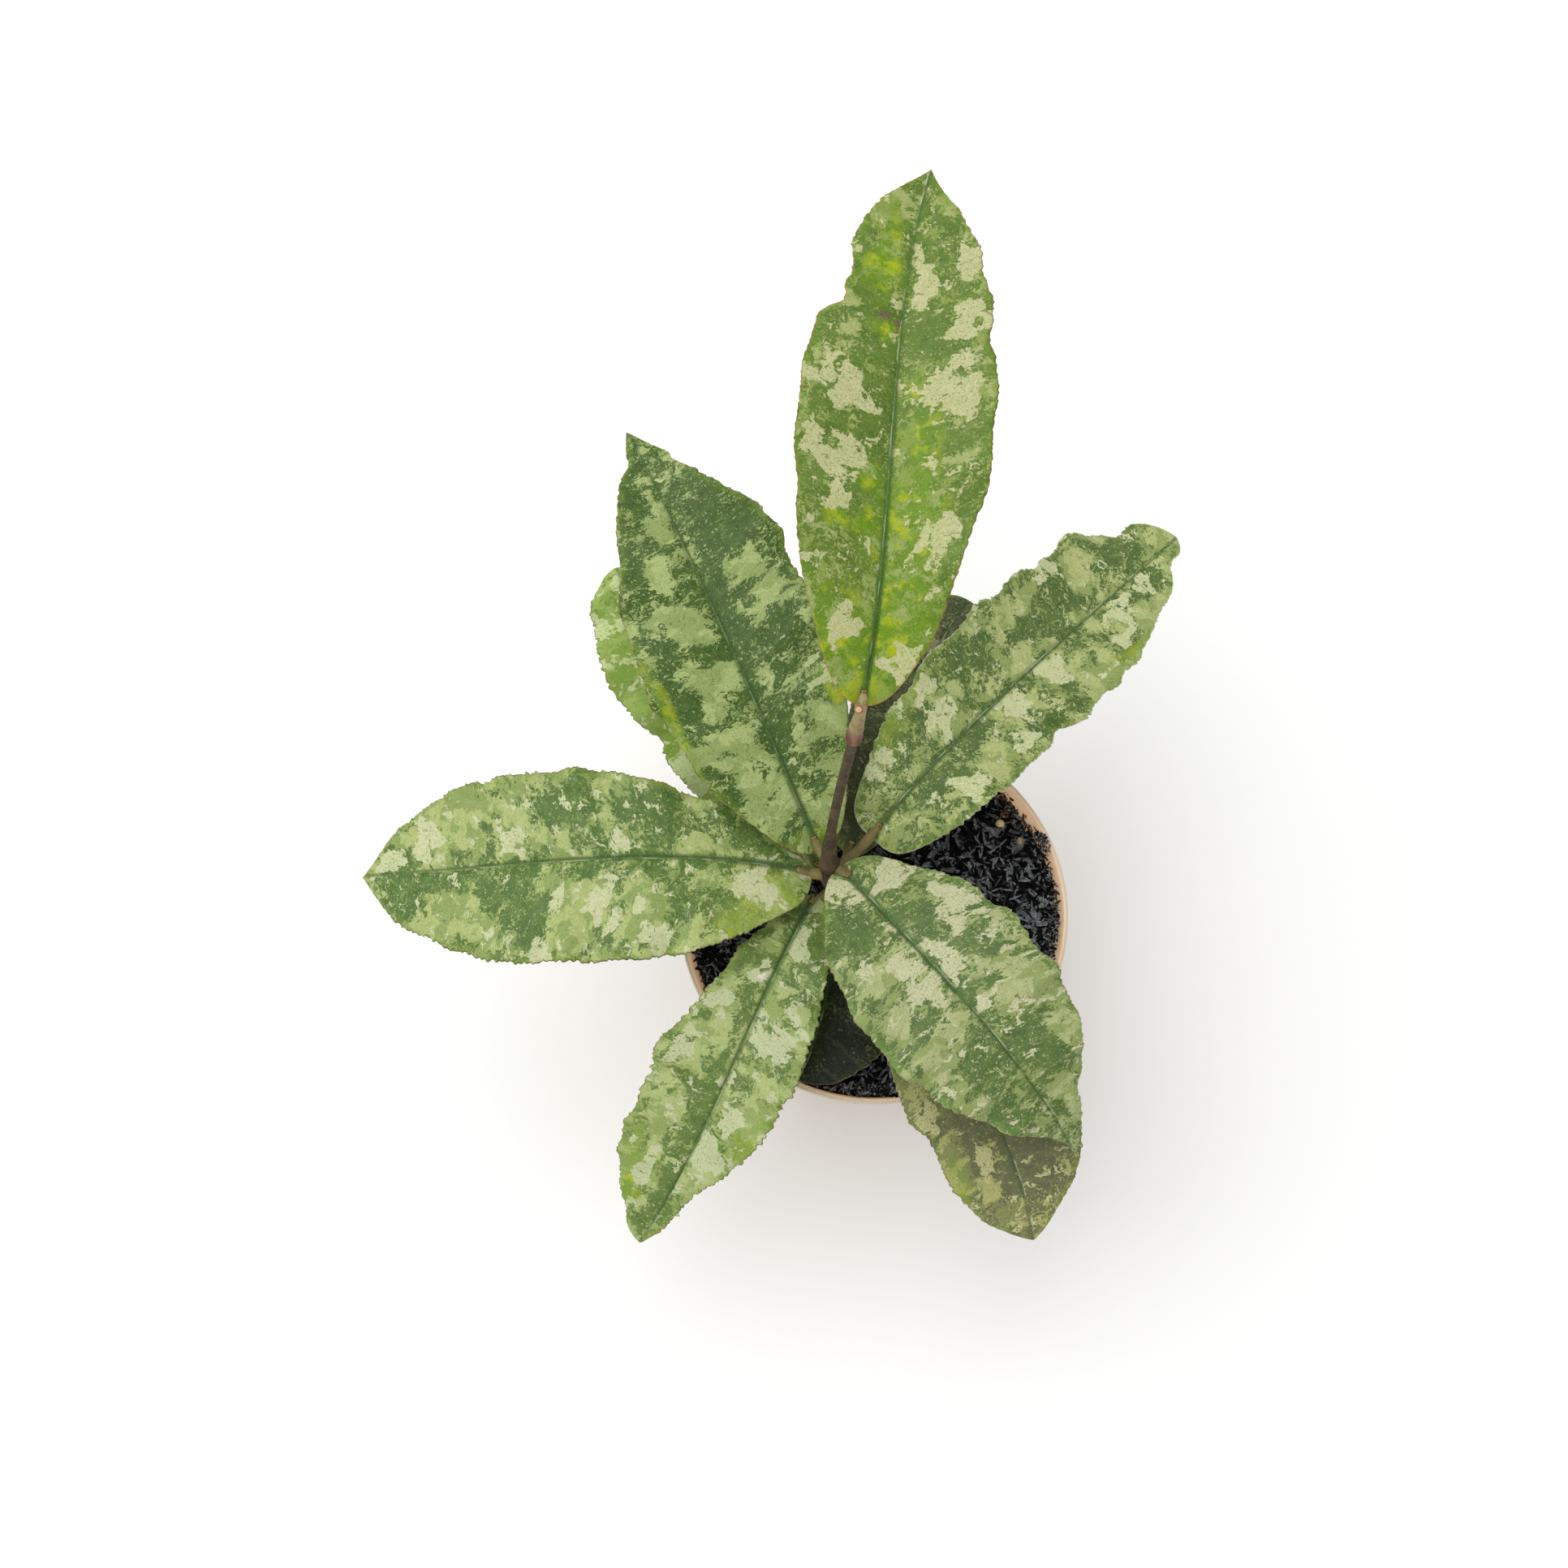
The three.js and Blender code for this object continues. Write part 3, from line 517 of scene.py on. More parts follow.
# %% The leaves
LEAVES = {
    "leaf_top": {
        "midrib": [(-6, 28.2, 202.8), (2, 64, 231), (-1, 118, 238), (12, 163, 232)],
        "left": (25, 0.56, 0.75), "right": (26.5, 0.6, 0.75), "fold": (24, 16), "curl": -10,
        "waves": 4.5, "wave_height": 1.6, "phase": (0.4, 2.2), "teeth": 0.55, "lobe": 3.5,
        "notches": [(0.685, 4.8, 0.022), (0.732, 4.0, 0.038), (0.775, 1.0, 0.022), (0.545, -1.1, 0.05),
                    (-0.19, 2.0, 0.08), (-0.52, -1.2, 0.05), (-0.62, 1.5, 0.025), (-0.71, -1.9, 0.045),
                    (-0.82, -1.2, 0.03)],
        "tip_point": 0.45, "node": 197.5, "petiole": 1.7, "stalk_shape": (1.05, 0.95), "seed": 21,
    },
    "leaf_back_left": {
        "midrib": [(-18, 11.4, 126), (-34, 45, 148), (-53, 87, 156), (-72, 127, 149)],
        "left": (27.5, 0.63, 0.95), "right": (27, 0.58, 0.8), "fold": (14, 12), "curl": -10,
        "waves": 5, "wave_height": 1.8, "phase": (1.2, 0.2), "teeth": 0.7, "lobe": 4,
        "notches": [(0.75, 1.4, 0.12), (0.92, 2.4, 0.03), (-0.605, -2.4, 0.03), (-0.7, -3.2, 0.05),
                    (-0.84, 2.2, 0.09), (-0.875, 1.5, 0.03)], "tip_point": 0.35,
        "node": 125, "petiole": 1.7, "seed": 22,
    },
    "leaf_low_left": {
        "midrib": [(-17, 11, 101), (-38, 42, 111), (-60, 62, 117), (-77, 100, 112)],
        "left": (19.5, 0.6, 0.5), "right": (20, 0.6, 0.5), "fold": (8, 8), "curl": -8,
        "waves": 5.5, "wave_height": 2.6, "phase": (0.9, 1.9), "teeth": 1.2, "lobe": 3,
        "notches": [(0.5, 4, 0.05)], "rows": 200, "columns": 31,
        "node": 100, "petiole": 1.6, "seed": 23,
    },
    "leaf_left": {
        "midrib": [(-22, 4.7, 118), (-62, 8, 135), (-107, 1, 133), (-147, 3, 116)],
        "left": (31, 0.5, 0.68), "right": (26.5, 0.8, 0.68), "fold": (14, 8), "curl": -12,
        "waves": 6.5, "wave_height": 1.5, "phase": (0.3, 1.4), "teeth": 1.1, "lobe": 4,
        "notches": [(0.23, -2.0, 0.03), (0.47, 1.6, 0.025), (0.7, -1.5, 0.05), (0.87, -1.1, 0.05),
                    (-0.38, -1.3, 0.04), (-0.59, 1.4, 0.04), (-0.71, -1.5, 0.02), (-0.83, -1.5, 0.04)],
        "tip_point": 0.35, "node": 116.5, "petiole": 1.9, "seed": 24,
    },
    "leaf_front_left": {
        "midrib": [(-18.5, -2.5, 110), (-34, -34, 127), (-47, -71, 111), (-67, -98, 95)],
        "left": (18.5, 0.66, 0.9), "right": (19.5, 0.75, 0.48), "fold": (14, 10), "curl": -10,
        "waves": 6.5, "wave_height": 1.8, "phase": (1.1, 0.1), "teeth": 1.1, "lobe": 3,
        "notches": [(0.82, 3.8, 0.1), (-0.48, -3.0, 0.09), (-0.72, -2.8, 0.04), (-0.81, -1.2, 0.05),
                    (-0.94, 2.3, 0.03)],
        "node": 108, "petiole": 1.7, "seed": 25,
    },
    "leaf_front_right": {
        "midrib": [(-8.5, 1, 126), (10, -24, 141), (40, -56, 144), (54, -76, 116)],
        "left": (26, 0.57, 0.85), "right": (27.5, 0.64, 1), "fold": (10, 8), "curl": -14,
        "waves": 6, "wave_height": 1.4, "phase": (0.2, 1.7), "teeth": 0.8, "lobe": 4,
        "notches": [(0.59, -1.0, 0.04), (0.84, 3.6, 0.03), (0.89, 1.4, 0.05), (-0.93, 3, 0.06)],
        "node": 125, "petiole": 1.7, "seed": 26,
    },
    "leaf_low_front": {
        "midrib": [(-5.5, -3, 101), (13, -31, 111), (38, -61, 109), (44, -97, 94)],
        "left": (26, 1, 0.85), "right": (23.5, 1, 0.65), "fold": (8, 6), "curl": -8,
        "waves": 5, "wave_height": 1.6, "phase": (0.8, 2.4), "teeth": 0.8, "lobe": 3,
        "notches": [(-0.67, 3.5, 0.12)],
        "node": 100, "petiole": 1.6, "seed": 27,
    },
    "leaf_back_right": {
        "midrib": [(0.7, 17.7, 118), (26, 45, 136), (60, 72, 143), (88, 102, 131)],
        "left": (23.5, 0.43, 0.48), "right": (21, 0.3, 0.55), "fold": (12, 8), "curl": -8,
        "waves": 6.5, "wave_height": 2.6, "phase": (0.5, 1.6), "teeth": 1, "lobe": 4,
        "notches": [(0.65, 2.1, 0.02), (0.775, -1.7, 0.05), (0.89, 2.9, 0.025), (-0.415, 2.8, 0.025),
                    (-0.485, -2.2, 0.03), (-0.59, -1.9, 0.02), (-0.67, -2.9, 0.05), (-0.925, 3.6, 0.03)],
        "node": 116.5, "petiole": 1.7, "seed": 28,
    },
    "leaf_low_back": {
        "midrib": [(-7, 15, 109), (4, 38, 118), (14, 63, 123), (27, 87, 120)],
        "left": (17, 0.5, 0.45), "right": (17, 0.5, 0.45), "fold": (8, 8), "curl": -8,
        "waves": 4, "wave_height": 1.5, "phase": (0.4, 1.2), "teeth": 0.8, "lobe": 3,
        "notches": [], "rows": 130, "columns": 31,
        "node": 108, "petiole": 1.6, "seed": 29,
    },
    "leaf_lowest": {
        "midrib": [(-11, -6, 93), (-14, -20, 98), (-14, -36, 96), (-23, -51, 92)],
        "left": (21, 0.5, 0.6), "right": (19, 0.5, 0.5), "fold": (6, 4), "curl": -6,
        "waves": 3, "wave_height": 1, "phase": (0.4, 1.2), "teeth": 0.8, "lobe": 2,
        "notches": [], "rows": 130, "columns": 31,
        "node": 92, "petiole": 1.5, "seed": 30,
    },
}
print(len(LEAVES), "leaves")

# %% [markdown]
# What makes this plant is its splashes. On the real leaf they are places where the skin is lifted off the
# green tissue by air, in pale green and in silver, with ragged edges and a dust of fine specks. A ragged edge
# is what cloudy noise gives when it is cut off at a level. So the shader cuts noise at a level, and a soft
# map moves that level: it is high where a leaf has a large splash and low where it stays dark. The map holds
# only a few ovals for each leaf, each given as the distance left of the midrib, the distance from the base,
# half the width, half the length, and a turn in degrees.
#
# The other values hold for a whole leaf. The covers raise or lower its levels. Stretch and lean draw the
# patches out along the side veins, grain says how fine the clouds are, and lace how broken their edges. Band,
# groove shade side and line say how strongly the midrib's band, the painted shade on one side of its groove
# and its pale line, which is partly a painted highlight, show.

# %% The large splashes
SPLASHES = {
    "leaf_top": {
        "cover": -0.13, "silver_cover": -0.2, "stretch": 1.1, "lace": 0.7, "band": 0.85, "groove_shade_side": 0.85,
        "line": 0.9,
        "silver": [(14, 76, 8, 7, 20), (16, 58, 8, 5, 10), (-15, 76, 8, 7, -25), (-16, 113, 4, 5, 0),
                   (-18, 95, 5, 6, 0), (-5, 107, 3, 7, 0), (17, 30, 4, 2.5, 0), (8, 17, 4, 4, 20),
                   (-9, 10, 5, 3.5, -20), (13, 47, 3, 4, 0), (-14, 38, 6, 3.5, -20)],
        "pale": [(10, 129, 4, 6, 0), (-7, 132, 3, 6, 0), (-6, 61, 4, 7, 0), (12, 90, 5, 2, 0),
                 (14, 98, 4, 2, 0), (4, 105, 2, 3, 0), (20, 20, 3, 6, 0), (-18, 60, 5, 5, 0)],
        "dark": [(6, 90, 5, 9, 0), (-8, 93, 5, 7, 0), (4, 70, 4, 12, 0), (-12, 62, 8, 5, 0)],
        "lime": [(-7, 20, 11, 20, 0), (8, 8, 12, 16, 0), (-7, 46, 9, 15, 0), (5, 41, 3, 5, 0),
                 (5, 53, 3, 3, 0), (13, 42, 3, 3, 0), (6, 113, 4, 12, 0), (-6, 66, 4, 4, 0),
                 (4, 93, 3, 2.5, 0), (-6, 77, 3, 3, 0)],
        "purple": [(5, 96.5, 1.5, 1.0, 0), (1.3, 95.5, 0.8, 0.9, 0)],
    },
    "leaf_back_left": {
        "cover": -0.1, "silver_cover": -0.3, "stretch": 1.5, "lean": (-0.3, 0.0), "line": 0.3,
        "pale": [(12, 69, 9, 6, 20), (11, 83, 4, 5.5, 0), (4, 99, 3.5, 10, 12), (-13, 77, 7, 4, 0),
                 (-18, 66, 7, 4, 25), (10, 50, 8, 8, 15), (12, 30, 10, 6, 5), (8, 15, 8, 9, 15),
                 (-14, 27, 9, 4, 5), (-8, 7, 7, 5, 0), (-15, 18, 6, 3, 0), (-5, 47, 3, 6, 0)],
        "silver": [(-19, 39, 5, 5, 0), (1, 38, 2, 2, 0)],
        "dark": [(-12, 91, 9, 9, 0), (11, 116, 7, 9, 0), (-3, 66, 3, 14, 0), (20, 47, 4, 9, 0),
                 (-14, 54, 7, 4, 0), (3, 59, 6, 3, 0), (-4, 34, 3, 6, 0), (18, 90, 5, 6, 0)],
        "lime": [(25, 30, 2.5, 24, 0), (-22, 26, 2.5, 14, 0), (-9, 2, 9, 3, 0)],
    },
    "leaf_low_left": {
        "cover": 0.06, "silver_cover": -0.12, "stretch": 1.2,
        "pale": [(12, 80, 6, 6, 0), (14, 62, 5, 8, 0), (10, 38, 7, 6, 0)],
        "silver": [(15, 40, 4, 7, 0), (12, 92, 3, 4, 0)],
        "dark": [(4, 70, 4, 9, 0), (12, 50, 5, 4, 0)],
        "lime": [(14, 70, 12, 50, 0), (-12, 60, 14, 60, 0)],
    },
    "leaf_left": {
        "cover": 0.07, "silver_cover": -0.19, "stretch": 1.2,
        "pale": [(14, 98, 6, 8, 0), (22, 84, 4, 6, 0), (16, 42, 9, 7, 0), (-14, 96, 7, 8, 0),
                 (20, 64, 7, 6, 0), (12, 60, 6, 5, 0)],
        "silver": [(13, 56, 6, 3.5, 10), (7, 13, 6, 6, 0), (-4, 119, 3, 4, 0), (-9, 107, 6, 4, 10),
                   (-6, 81, 4, 4, 0), (26, 72, 3.5, 4, 0), (24, 37, 4, 5, 0), (-5, 51, 3, 2.5, 0),
                   (20, 51, 3, 2, 0), (12, 68, 3, 2, 0), (15, 44, 3, 2, 0)],
        "dark": [(15, 78, 12, 7, 12), (6, 86, 7, 7, 0), (4, 110, 4, 13, 0), (15, 33, 5, 5, 0),
                 (14, 22, 6, 4, 0), (-13, 64, 9, 10, 0), (-13, 40, 9, 9, 0), (2, 45, 4, 18, 0),
                 (-4, 117, 4, 6, 0), (23, 95, 2, 7, 0), (-8, 15, 4, 9, 20), (10, 115, 5, 6, 0)],
        "lime": [(16, 6, 12, 6, 0), (22, 14, 8, 8, 0)],
    },
    "leaf_front_left": {
        "cover": 0.03, "silver_cover": -0.17, "stretch": 1.2,
        "pale": [(8, 88, 4, 6, 0), (12, 60, 4, 8, 0), (-12, 74, 4, 7, 0), (-9, 46, 4, 6, 0)],
        "silver": [(4, 80, 4, 5, 0), (-10, 91, 2.5, 7, 0), (6, 68, 3, 4, 0), (6, 43, 6, 5, 20),
                   (-15, 52, 3, 5, 0), (12, 37, 4, 5, 0), (-11, 38, 4, 4, 0), (3, 16, 3, 5, 0),
                   (-3, 27, 3, 3, 0)],
        "dark": [(-2, 98, 3, 12, 0), (12, 20, 4, 7, 0), (7, 14, 3, 6, 0), (-6, 66, 3, 5, 0),
                 (-11, 24, 3, 5, 0), (12, 72, 3, 3, 0), (-10, 100, 3, 5, 0), (-3, 60, 2, 30, 0)],
        "lime": [(-14, 96, 5, 12, 0), (14, 80, 4, 18, 0)],
        "white": [(-3, 28, 0.7, 1.2, 20)],
    },
    "leaf_front_right": {
        "cover": -0.03, "silver_cover": -0.18, "stretch": 1.7, "lean": (0.1, -0.15), "grain": 0.34,
        "lace": 1.2,
        "pale": [(15, 57, 8, 9, 0), (18, 74, 6, 7, 10), (-18, 57, 7, 5, -20), (-17, 72, 5, 6, 0),
                 (6, 88, 3, 6, 0), (-14, 29, 8, 4, 25), (-9, 57, 4, 3, 0), (-19, 42, 4, 5, 0)],
        "silver": [(16, 26, 6, 6, 0), (9, 9, 6, 4, 0), (-6, 42, 6, 4, 20), (-6, 32, 6, 4, 20),
                   (-5, 5, 5, 4, 0), (3, 55, 2, 2, 0), (4, 38, 3, 7, 0)],
        "dark": [(8, 71, 6, 9, 0), (-9, 66, 7, 9, 0), (9, 39, 10, 4, 15), (-11, 15, 8, 6, 0),
                 (-14, 86, 6, 8, 0), (6, 24, 4, 6, 0), (-16, 48, 5, 3, 0)],
        "lime": [],
    },
    "leaf_low_front": {
        "cover": -0.11, "silver_cover": -0.2, "stretch": 1.1, "lace": 1.3,
        "pale": [(-17, 78, 5, 9, 15), (-9, 92, 2.5, 4, 0), (-4, 100, 4, 4, 0), (13, 89, 2.5, 3, 0),
                 (14, 70, 5, 6, 0), (-18, 50, 5, 5, 0), (16, 52, 5, 6, 0)],
        "silver": [(-18, 62, 3.5, 5, 0), (-8, 83, 2.5, 5, 0)],
        "dark": [(4, 86, 8, 12, 0), (-8, 70, 4, 9, 0)],
        "lime": [(-18, 86, 4, 10, 0)],
    },
    "leaf_back_right": {
        "cover": 0.04, "silver_cover": -0.22, "stretch": 1.2, "lace": 1.3, "line": 0.85,
        "pale": [(-12, 98, 5, 8, 0), (-14, 70, 6, 6, 0), (12, 92, 5, 5, 0), (-12, 34, 6, 5, 0),
                 (6, 60, 6, 4, 0), (16, 68, 4, 7, 0)],
        "silver": [(-5, 93, 4, 4, 0), (-12, 86, 3, 3, 0), (-5, 66, 5, 4, 0), (-5, 51, 5, 4, 0),
                   (-13, 25, 4, 5, 0), (8, 33, 4, 6, 0), (12, 12, 5, 4, 0), (17, 34, 3, 4, 0),
                   (-14, 44, 3, 4, 0), (18, 84, 3, 4, 0), (-4, 104, 3, 3, 0)],
        "dark": [(8, 107, 5, 9, 0), (-4, 102, 3, 10, 0), (9, 76, 7, 12, 0), (13, 49, 8, 9, 0),
                 (-14, 65, 5, 4, 0), (-5, 27, 4, 14, -8), (12, 22, 6, 8, 0), (-14, 51, 6, 4, 0)],
        "lime": [(20, 20, 5, 16, 0), (-18, 90, 3, 14, 0)],
    },
    "leaf_low_back": {
        "cover": -0.16, "silver_cover": -0.2, "stretch": 1.2, "lace": 1.2,
        "pale": [], "silver": [(8, 60, 5, 9, 0)], "dark": [], "lime": [],
    },
    "leaf_lowest": {
        "cover": -0.25, "silver_cover": -0.35, "stretch": 1.2,
        "pale": [], "silver": [], "dark": [], "lime": [],
    },
}


def ease(value, start, end):
    """0 up to start, 1 from end on, and an easy rise between them, for plain numbers."""
    share = np.clip((value - start) / (end - start), 0, 1)
    return share * share * (3 - 2 * share)


def oval_map(places, ovals, inside=0.7, outside=1.3):
    """For each place on a blade, 1 well inside an oval and 0 well outside every one."""
    reached = np.zeros(len(places))
    for left_of_midrib, from_base, half_wide, half_long, turn in ovals:
        angle = math.radians(turn)
        sideways = places[:, 0] - left_of_midrib
        forward = places[:, 1] - from_base
        wide = (sideways * math.cos(angle) + forward * math.sin(angle)) / half_wide
        long = (forward * math.cos(angle) - sideways * math.sin(angle)) / half_long
        around = np.arctan2(long, wide)
        uneven = 1 + 0.2 * np.sin(3 * around + left_of_midrib) + 0.14 * np.sin(5 * around + from_base)
        reached = np.maximum(reached, 1 - ease(np.hypot(wide, long) * uneven, inside, outside))
    return reached


def map_splashes(piece, splashes):
    """Keeps two maps on a blade's points: its pale, silver and lime splashes, and its small marks."""
    mesh = piece.data
    places = np.zeros(len(mesh.vertices) * 3)
    mesh.attributes["place"].data.foreach_get("vector", places)
    places = places.reshape(-1, 3)
    pale = oval_map(places, splashes["pale"]) - oval_map(places, splashes["dark"])
    silver = oval_map(places, splashes["silver"])
    lime = oval_map(places, splashes["lime"], 0.4, 1.6)
    keep_map(mesh, "splash", pale, silver, lime)
    purple = oval_map(places, splashes.get("purple", []))
    white = oval_map(places, splashes.get("white", []))
    keep_map(mesh, "marks", purple, white, 0 * white)


def keep_map(mesh, title, *columns):
    """Keeps three numbers for each point as one vector."""
    maps = np.stack(columns, axis=1).astype(np.float32)
    mesh.attributes.new(title, "FLOAT_VECTOR", "POINT").data.foreach_set("vector", maps.ravel())


print(sum(len(s["pale"]) + len(s["silver"]) for s in SPLASHES.values()), "large splashes")

# %% [markdown]
# The upper skin. Its layers, from the bottom up: the dark green of the blade with clouds of light and dark;
# lime and yellow where a young leaf is still colouring, with lime along the margin that is partly a painted
# glow;
# pale splashes, then silver ones; specks of both; the darker band of the midrib with painted shade in its
# groove and its pale line, partly a painted highlight; the faint side veins; a few small marks; and the
# coloured margin. The colours come first, as they are read off a screen. All leaves share one set, and each
# changes
# what is its own: the top leaf is young and lime, and the two that lie deep in the shade of the others are
# dull in their own green and darkened further with painted shade.

# %% Leaf colours
LEAF_COLOURS = {
    "dark": (76, 104, 42), "deep": (54, 82, 28), "light": (106, 130, 62),
    "olive": (134, 152, 84), "pale": (166, 177, 114), "silver": (193, 196, 155),
    "lime": (122, 148, 48), "yellow": (164, 172, 14), "midrib": (62, 92, 42),
    "vein": (168, 178, 140), "margin": (112, 84, 66), "margin_pale": (150, 140, 96),
    "mist": (124, 150, 112),
}
LEAF_CHANGES = {
    "leaf_top": {
        "dark": (80, 108, 30), "deep": (54, 82, 12), "light": (110, 134, 50), "olive": (132, 148, 72),
        "pale": (156, 164, 102), "silver": (184, 184, 136), "lime": (98, 132, 0), "yellow": (160, 172, 0),
        "midrib": (80, 114, 52), "margin": (158, 112, 64), "margin_pale": (176, 140, 80),
    },
    "leaf_back_left": {
        "dark": (54, 82, 22), "deep": (36, 62, 12), "light": (88, 112, 48), "olive": (142, 158, 94),
        "pale": (164, 178, 114), "silver": (174, 184, 132), "lime": (110, 138, 30),
        "margin_pale": (190, 182, 120),
    },
    "leaf_low_left": {
        "dark": (92, 124, 44), "deep": (76, 108, 32), "light": (120, 148, 66), "olive": (138, 162, 78),
        "pale": (164, 182, 104), "silver": (194, 204, 150), "lime": (116, 150, 40),
        "yellow": (138, 162, 52),
    },
    "leaf_left": {
        "dark": (70, 100, 40), "pale": (166, 178, 110), "lime": (136, 156, 56),
    },
    "leaf_front_left": {
        "dark": (86, 112, 48), "light": (118, 136, 70), "olive": (140, 156, 88), "silver": (186, 190, 152),
    },
    "leaf_front_right": {
        "dark": (74, 98, 46), "deep": (50, 74, 30), "olive": (136, 148, 88), "pale": (165, 171, 118),
        "silver": (190, 190, 152), "lime": (106, 140, 52), "margin": (134, 118, 80),
        "margin_pale": (190, 186, 140),
    },
    "leaf_low_front": {
        "dark": (96, 101, 66), "deep": (78, 82, 54), "light": (118, 121, 84), "olive": (128, 131, 80),
        "pale": (172, 172, 106), "silver": (190, 190, 138),
    },
    "leaf_back_right": {
        "dark": (72, 96, 44), "olive": (148, 162, 94), "pale": (180, 188, 122), "silver": (204, 208, 162),
        "margin": (196, 196, 160), "margin_pale": (206, 206, 172),
    },
    # Painted shade: this leaf's own green is dull, and its colours are darkened further for the shade that it
    # lies in.
    "leaf_low_back": {
        "dark": (64, 72, 42), "deep": (46, 54, 28), "light": (92, 98, 60), "olive": (104, 110, 68),
        "pale": (128, 132, 84), "silver": (156, 156, 122),
    },
    # Painted shade: the lowest leaf's own green is dull, and its colours are darkened nearly to black for the
    # deep shade under the plant.
    "leaf_lowest": {
        "dark": (17, 24, 5), "deep": (10, 15, 3), "light": (42, 50, 24), "olive": (72, 80, 48),
        "pale": (100, 106, 68), "silver": (116, 120, 90), "lime": (46, 58, 22), "yellow": (60, 68, 30),
    },
}
print(len(LEAF_COLOURS), "colours make a leaf, and", len(LEAF_CHANGES), "leaves change some of them")

# %% [markdown]
# Every finish in this lesson is made of layers of colour. A few helpers serve them all: one starts a
# material, one feeds the finished layers to the shader, one turns a height in millimetres into a bump, and
# one strews round specks. The specks come from a cell pattern, in which each cell holds one speck or, by a
# chance of its own, none.

# %% Helpers for the finishes
def surface(name, roughness=0.5, specular=0.5):
    """A new material, as a net, with the shader that its layers will feed."""
    material = bpy.data.materials.new(name)
    material.use_nodes = True
    net = Net(material.node_tree)
    shader = material.node_tree.nodes["Principled BSDF"]
    shader.inputs["Roughness"].default_value = roughness
    shader.inputs["Specular IOR Level"].default_value = specular
    return material, net, shader


def feed(net, shader, **layers):
    """Links finished layers to the shader's own sockets."""
    for title, wire in layers.items():
        net.tree.links.new(wire.socket, shader.inputs[title.replace("_", " ")])


def bumped(net, height):
    """The normal of a surface with this height, in millimetres, laid on it."""
    return net.node("ShaderNodeBump", {}, {"Height": height, "Distance": METRES, "Strength": 1.0})


def on_object(net):
    """Where each spot lies on the object, in millimetres."""
    return net.node("ShaderNodeTexCoord").of("Object") * (1 / METRES)


def specks(net, place, size, share, radius):
    """Round specks: one in each cell of a given size, but only in a share of the cells."""
    cells = net.node("ShaderNodeTexVoronoi", {"feature": "F1"}, {"Vector": place, "Scale": 1 / size})
    chance, grown, _ = cells.of("Color").xyz()
    there = 1 - chance.above(share)
    reach = radius / size * (0.5 + grown)
    return there * (1 - (cells / reach).ramp(0.7, 1.1))


# %% [markdown]
# The noise of the splashes is read across and along the midrib, not in space, so that the patches belong to
# the leaf. It is drawn out along the side veins, and a swirl bends it, which curls the edges. Crumbs of finer
# noise are added to the level, so that an edge breaks up into the lace of small islands that the real one
# has. The silver and the olive patches have noises of their own.

# %% The levels of the splashes
RAGGED = 1.5
MAP_PULL = 0.27
SILVER_PULL = 0.36
SWIRLS = ((0.28, 6.0), (1.2, 0.95))


def leaf_maps(net):
    """What the blade's tree and the splash map left on the points."""
    place = net.node("ShaderNodeAttribute", {"attribute_name": "place"}).of("Vector")
    rim = net.node("ShaderNodeAttribute", {"attribute_name": "rim"}).of("Vector")
    splash = net.node("ShaderNodeAttribute", {"attribute_name": "splash"}).of("Vector")
    return place, rim.xyz(), splash.xyz()


def splash_levels(net, place, splashes, pale_map, silver_map, seed):
    """How far inside a light patch, a silver one and an olive one each spot is. 0 is the ragged edge."""
    out, along, _ = place.xyz()
    beside = out.abs()
    lean_left, lean_right = splashes.get("lean", (0.0, 0.0))
    lean = out.above(0).blend(lean_right, lean_left)
    with_veins = (beside + lean * along) / splashes["stretch"]
    across_veins = along - lean * beside
    veined = net.vector(with_veins + out.sign() * 60.0, across_veins, seed * 3.0)
    bent = veined
    for scale, reach in SWIRLS:
        swirl = net.node("ShaderNodeTexNoise", {}, {"Vector": veined, "Scale": scale, "Detail": 2.0})
        bent = bent + (swirl.of("Color") - (0.5, 0.5, 0.5)) * reach
    crumbs = net.noise(bent + (5.0, 17.0, 3.0), detail=4, roughness=0.7, scale=0.9)
    clouds = net.noise(bent, detail=4, roughness=0.52, scale=splashes.get("grain", 0.23)) * RAGGED
    sheen = net.noise(bent + (37.0, 11.0, 5.0), detail=4, roughness=0.5, scale=0.27) * RAGGED
    shade = net.noise(bent + (71.0, 3.0, 29.0), detail=3, roughness=0.5, scale=0.16) * RAGGED
    lace = splashes.get("lace", 0.9)
    light = clouds + lace * crumbs + MAP_PULL * pale_map + splashes["cover"]
    silver = sheen + 0.6 * lace * crumbs + SILVER_PULL * silver_map + splashes["silver_cover"]
    return light, silver, shade + 0.3 * crumbs, crumbs


print("ovals pull the pale level by", MAP_PULL, "and the silver level by", SILVER_PULL)

# %% [markdown]
# The layers are laid one by one, each by a short function. They share four noises, from clouds some
# millimetres wide to grain as fine as a pore, because on the real leaf the wear of the silver, the pits and
# the dust all follow the same tissue. The gloss is that of wax: soft, and a little rougher on the silver. A
# fine bump gives the leathery grain.

# %% Green, pale and silver layers
class Grain:
    """The noises that all the layers of one blade share, from coarse to fine."""

    def __init__(self, net, near):
        self.near = near
        self.mottle = net.noise(near, detail=6, roughness=0.65, scale=0.28)
        self.fine = net.noise(near, detail=4, roughness=0.75, scale=1.3)
        self.pepper = net.noise(near + (21.0, 5.0, 0.0), detail=4, roughness=0.78, scale=1.5)
        self.tiny = net.noise(near + (3.0, 51.0, 0.0), detail=3, roughness=0.8, scale=2.3)
        self.shaken = near + net.vector(self.fine, self.pepper, 0.0) * 1.6


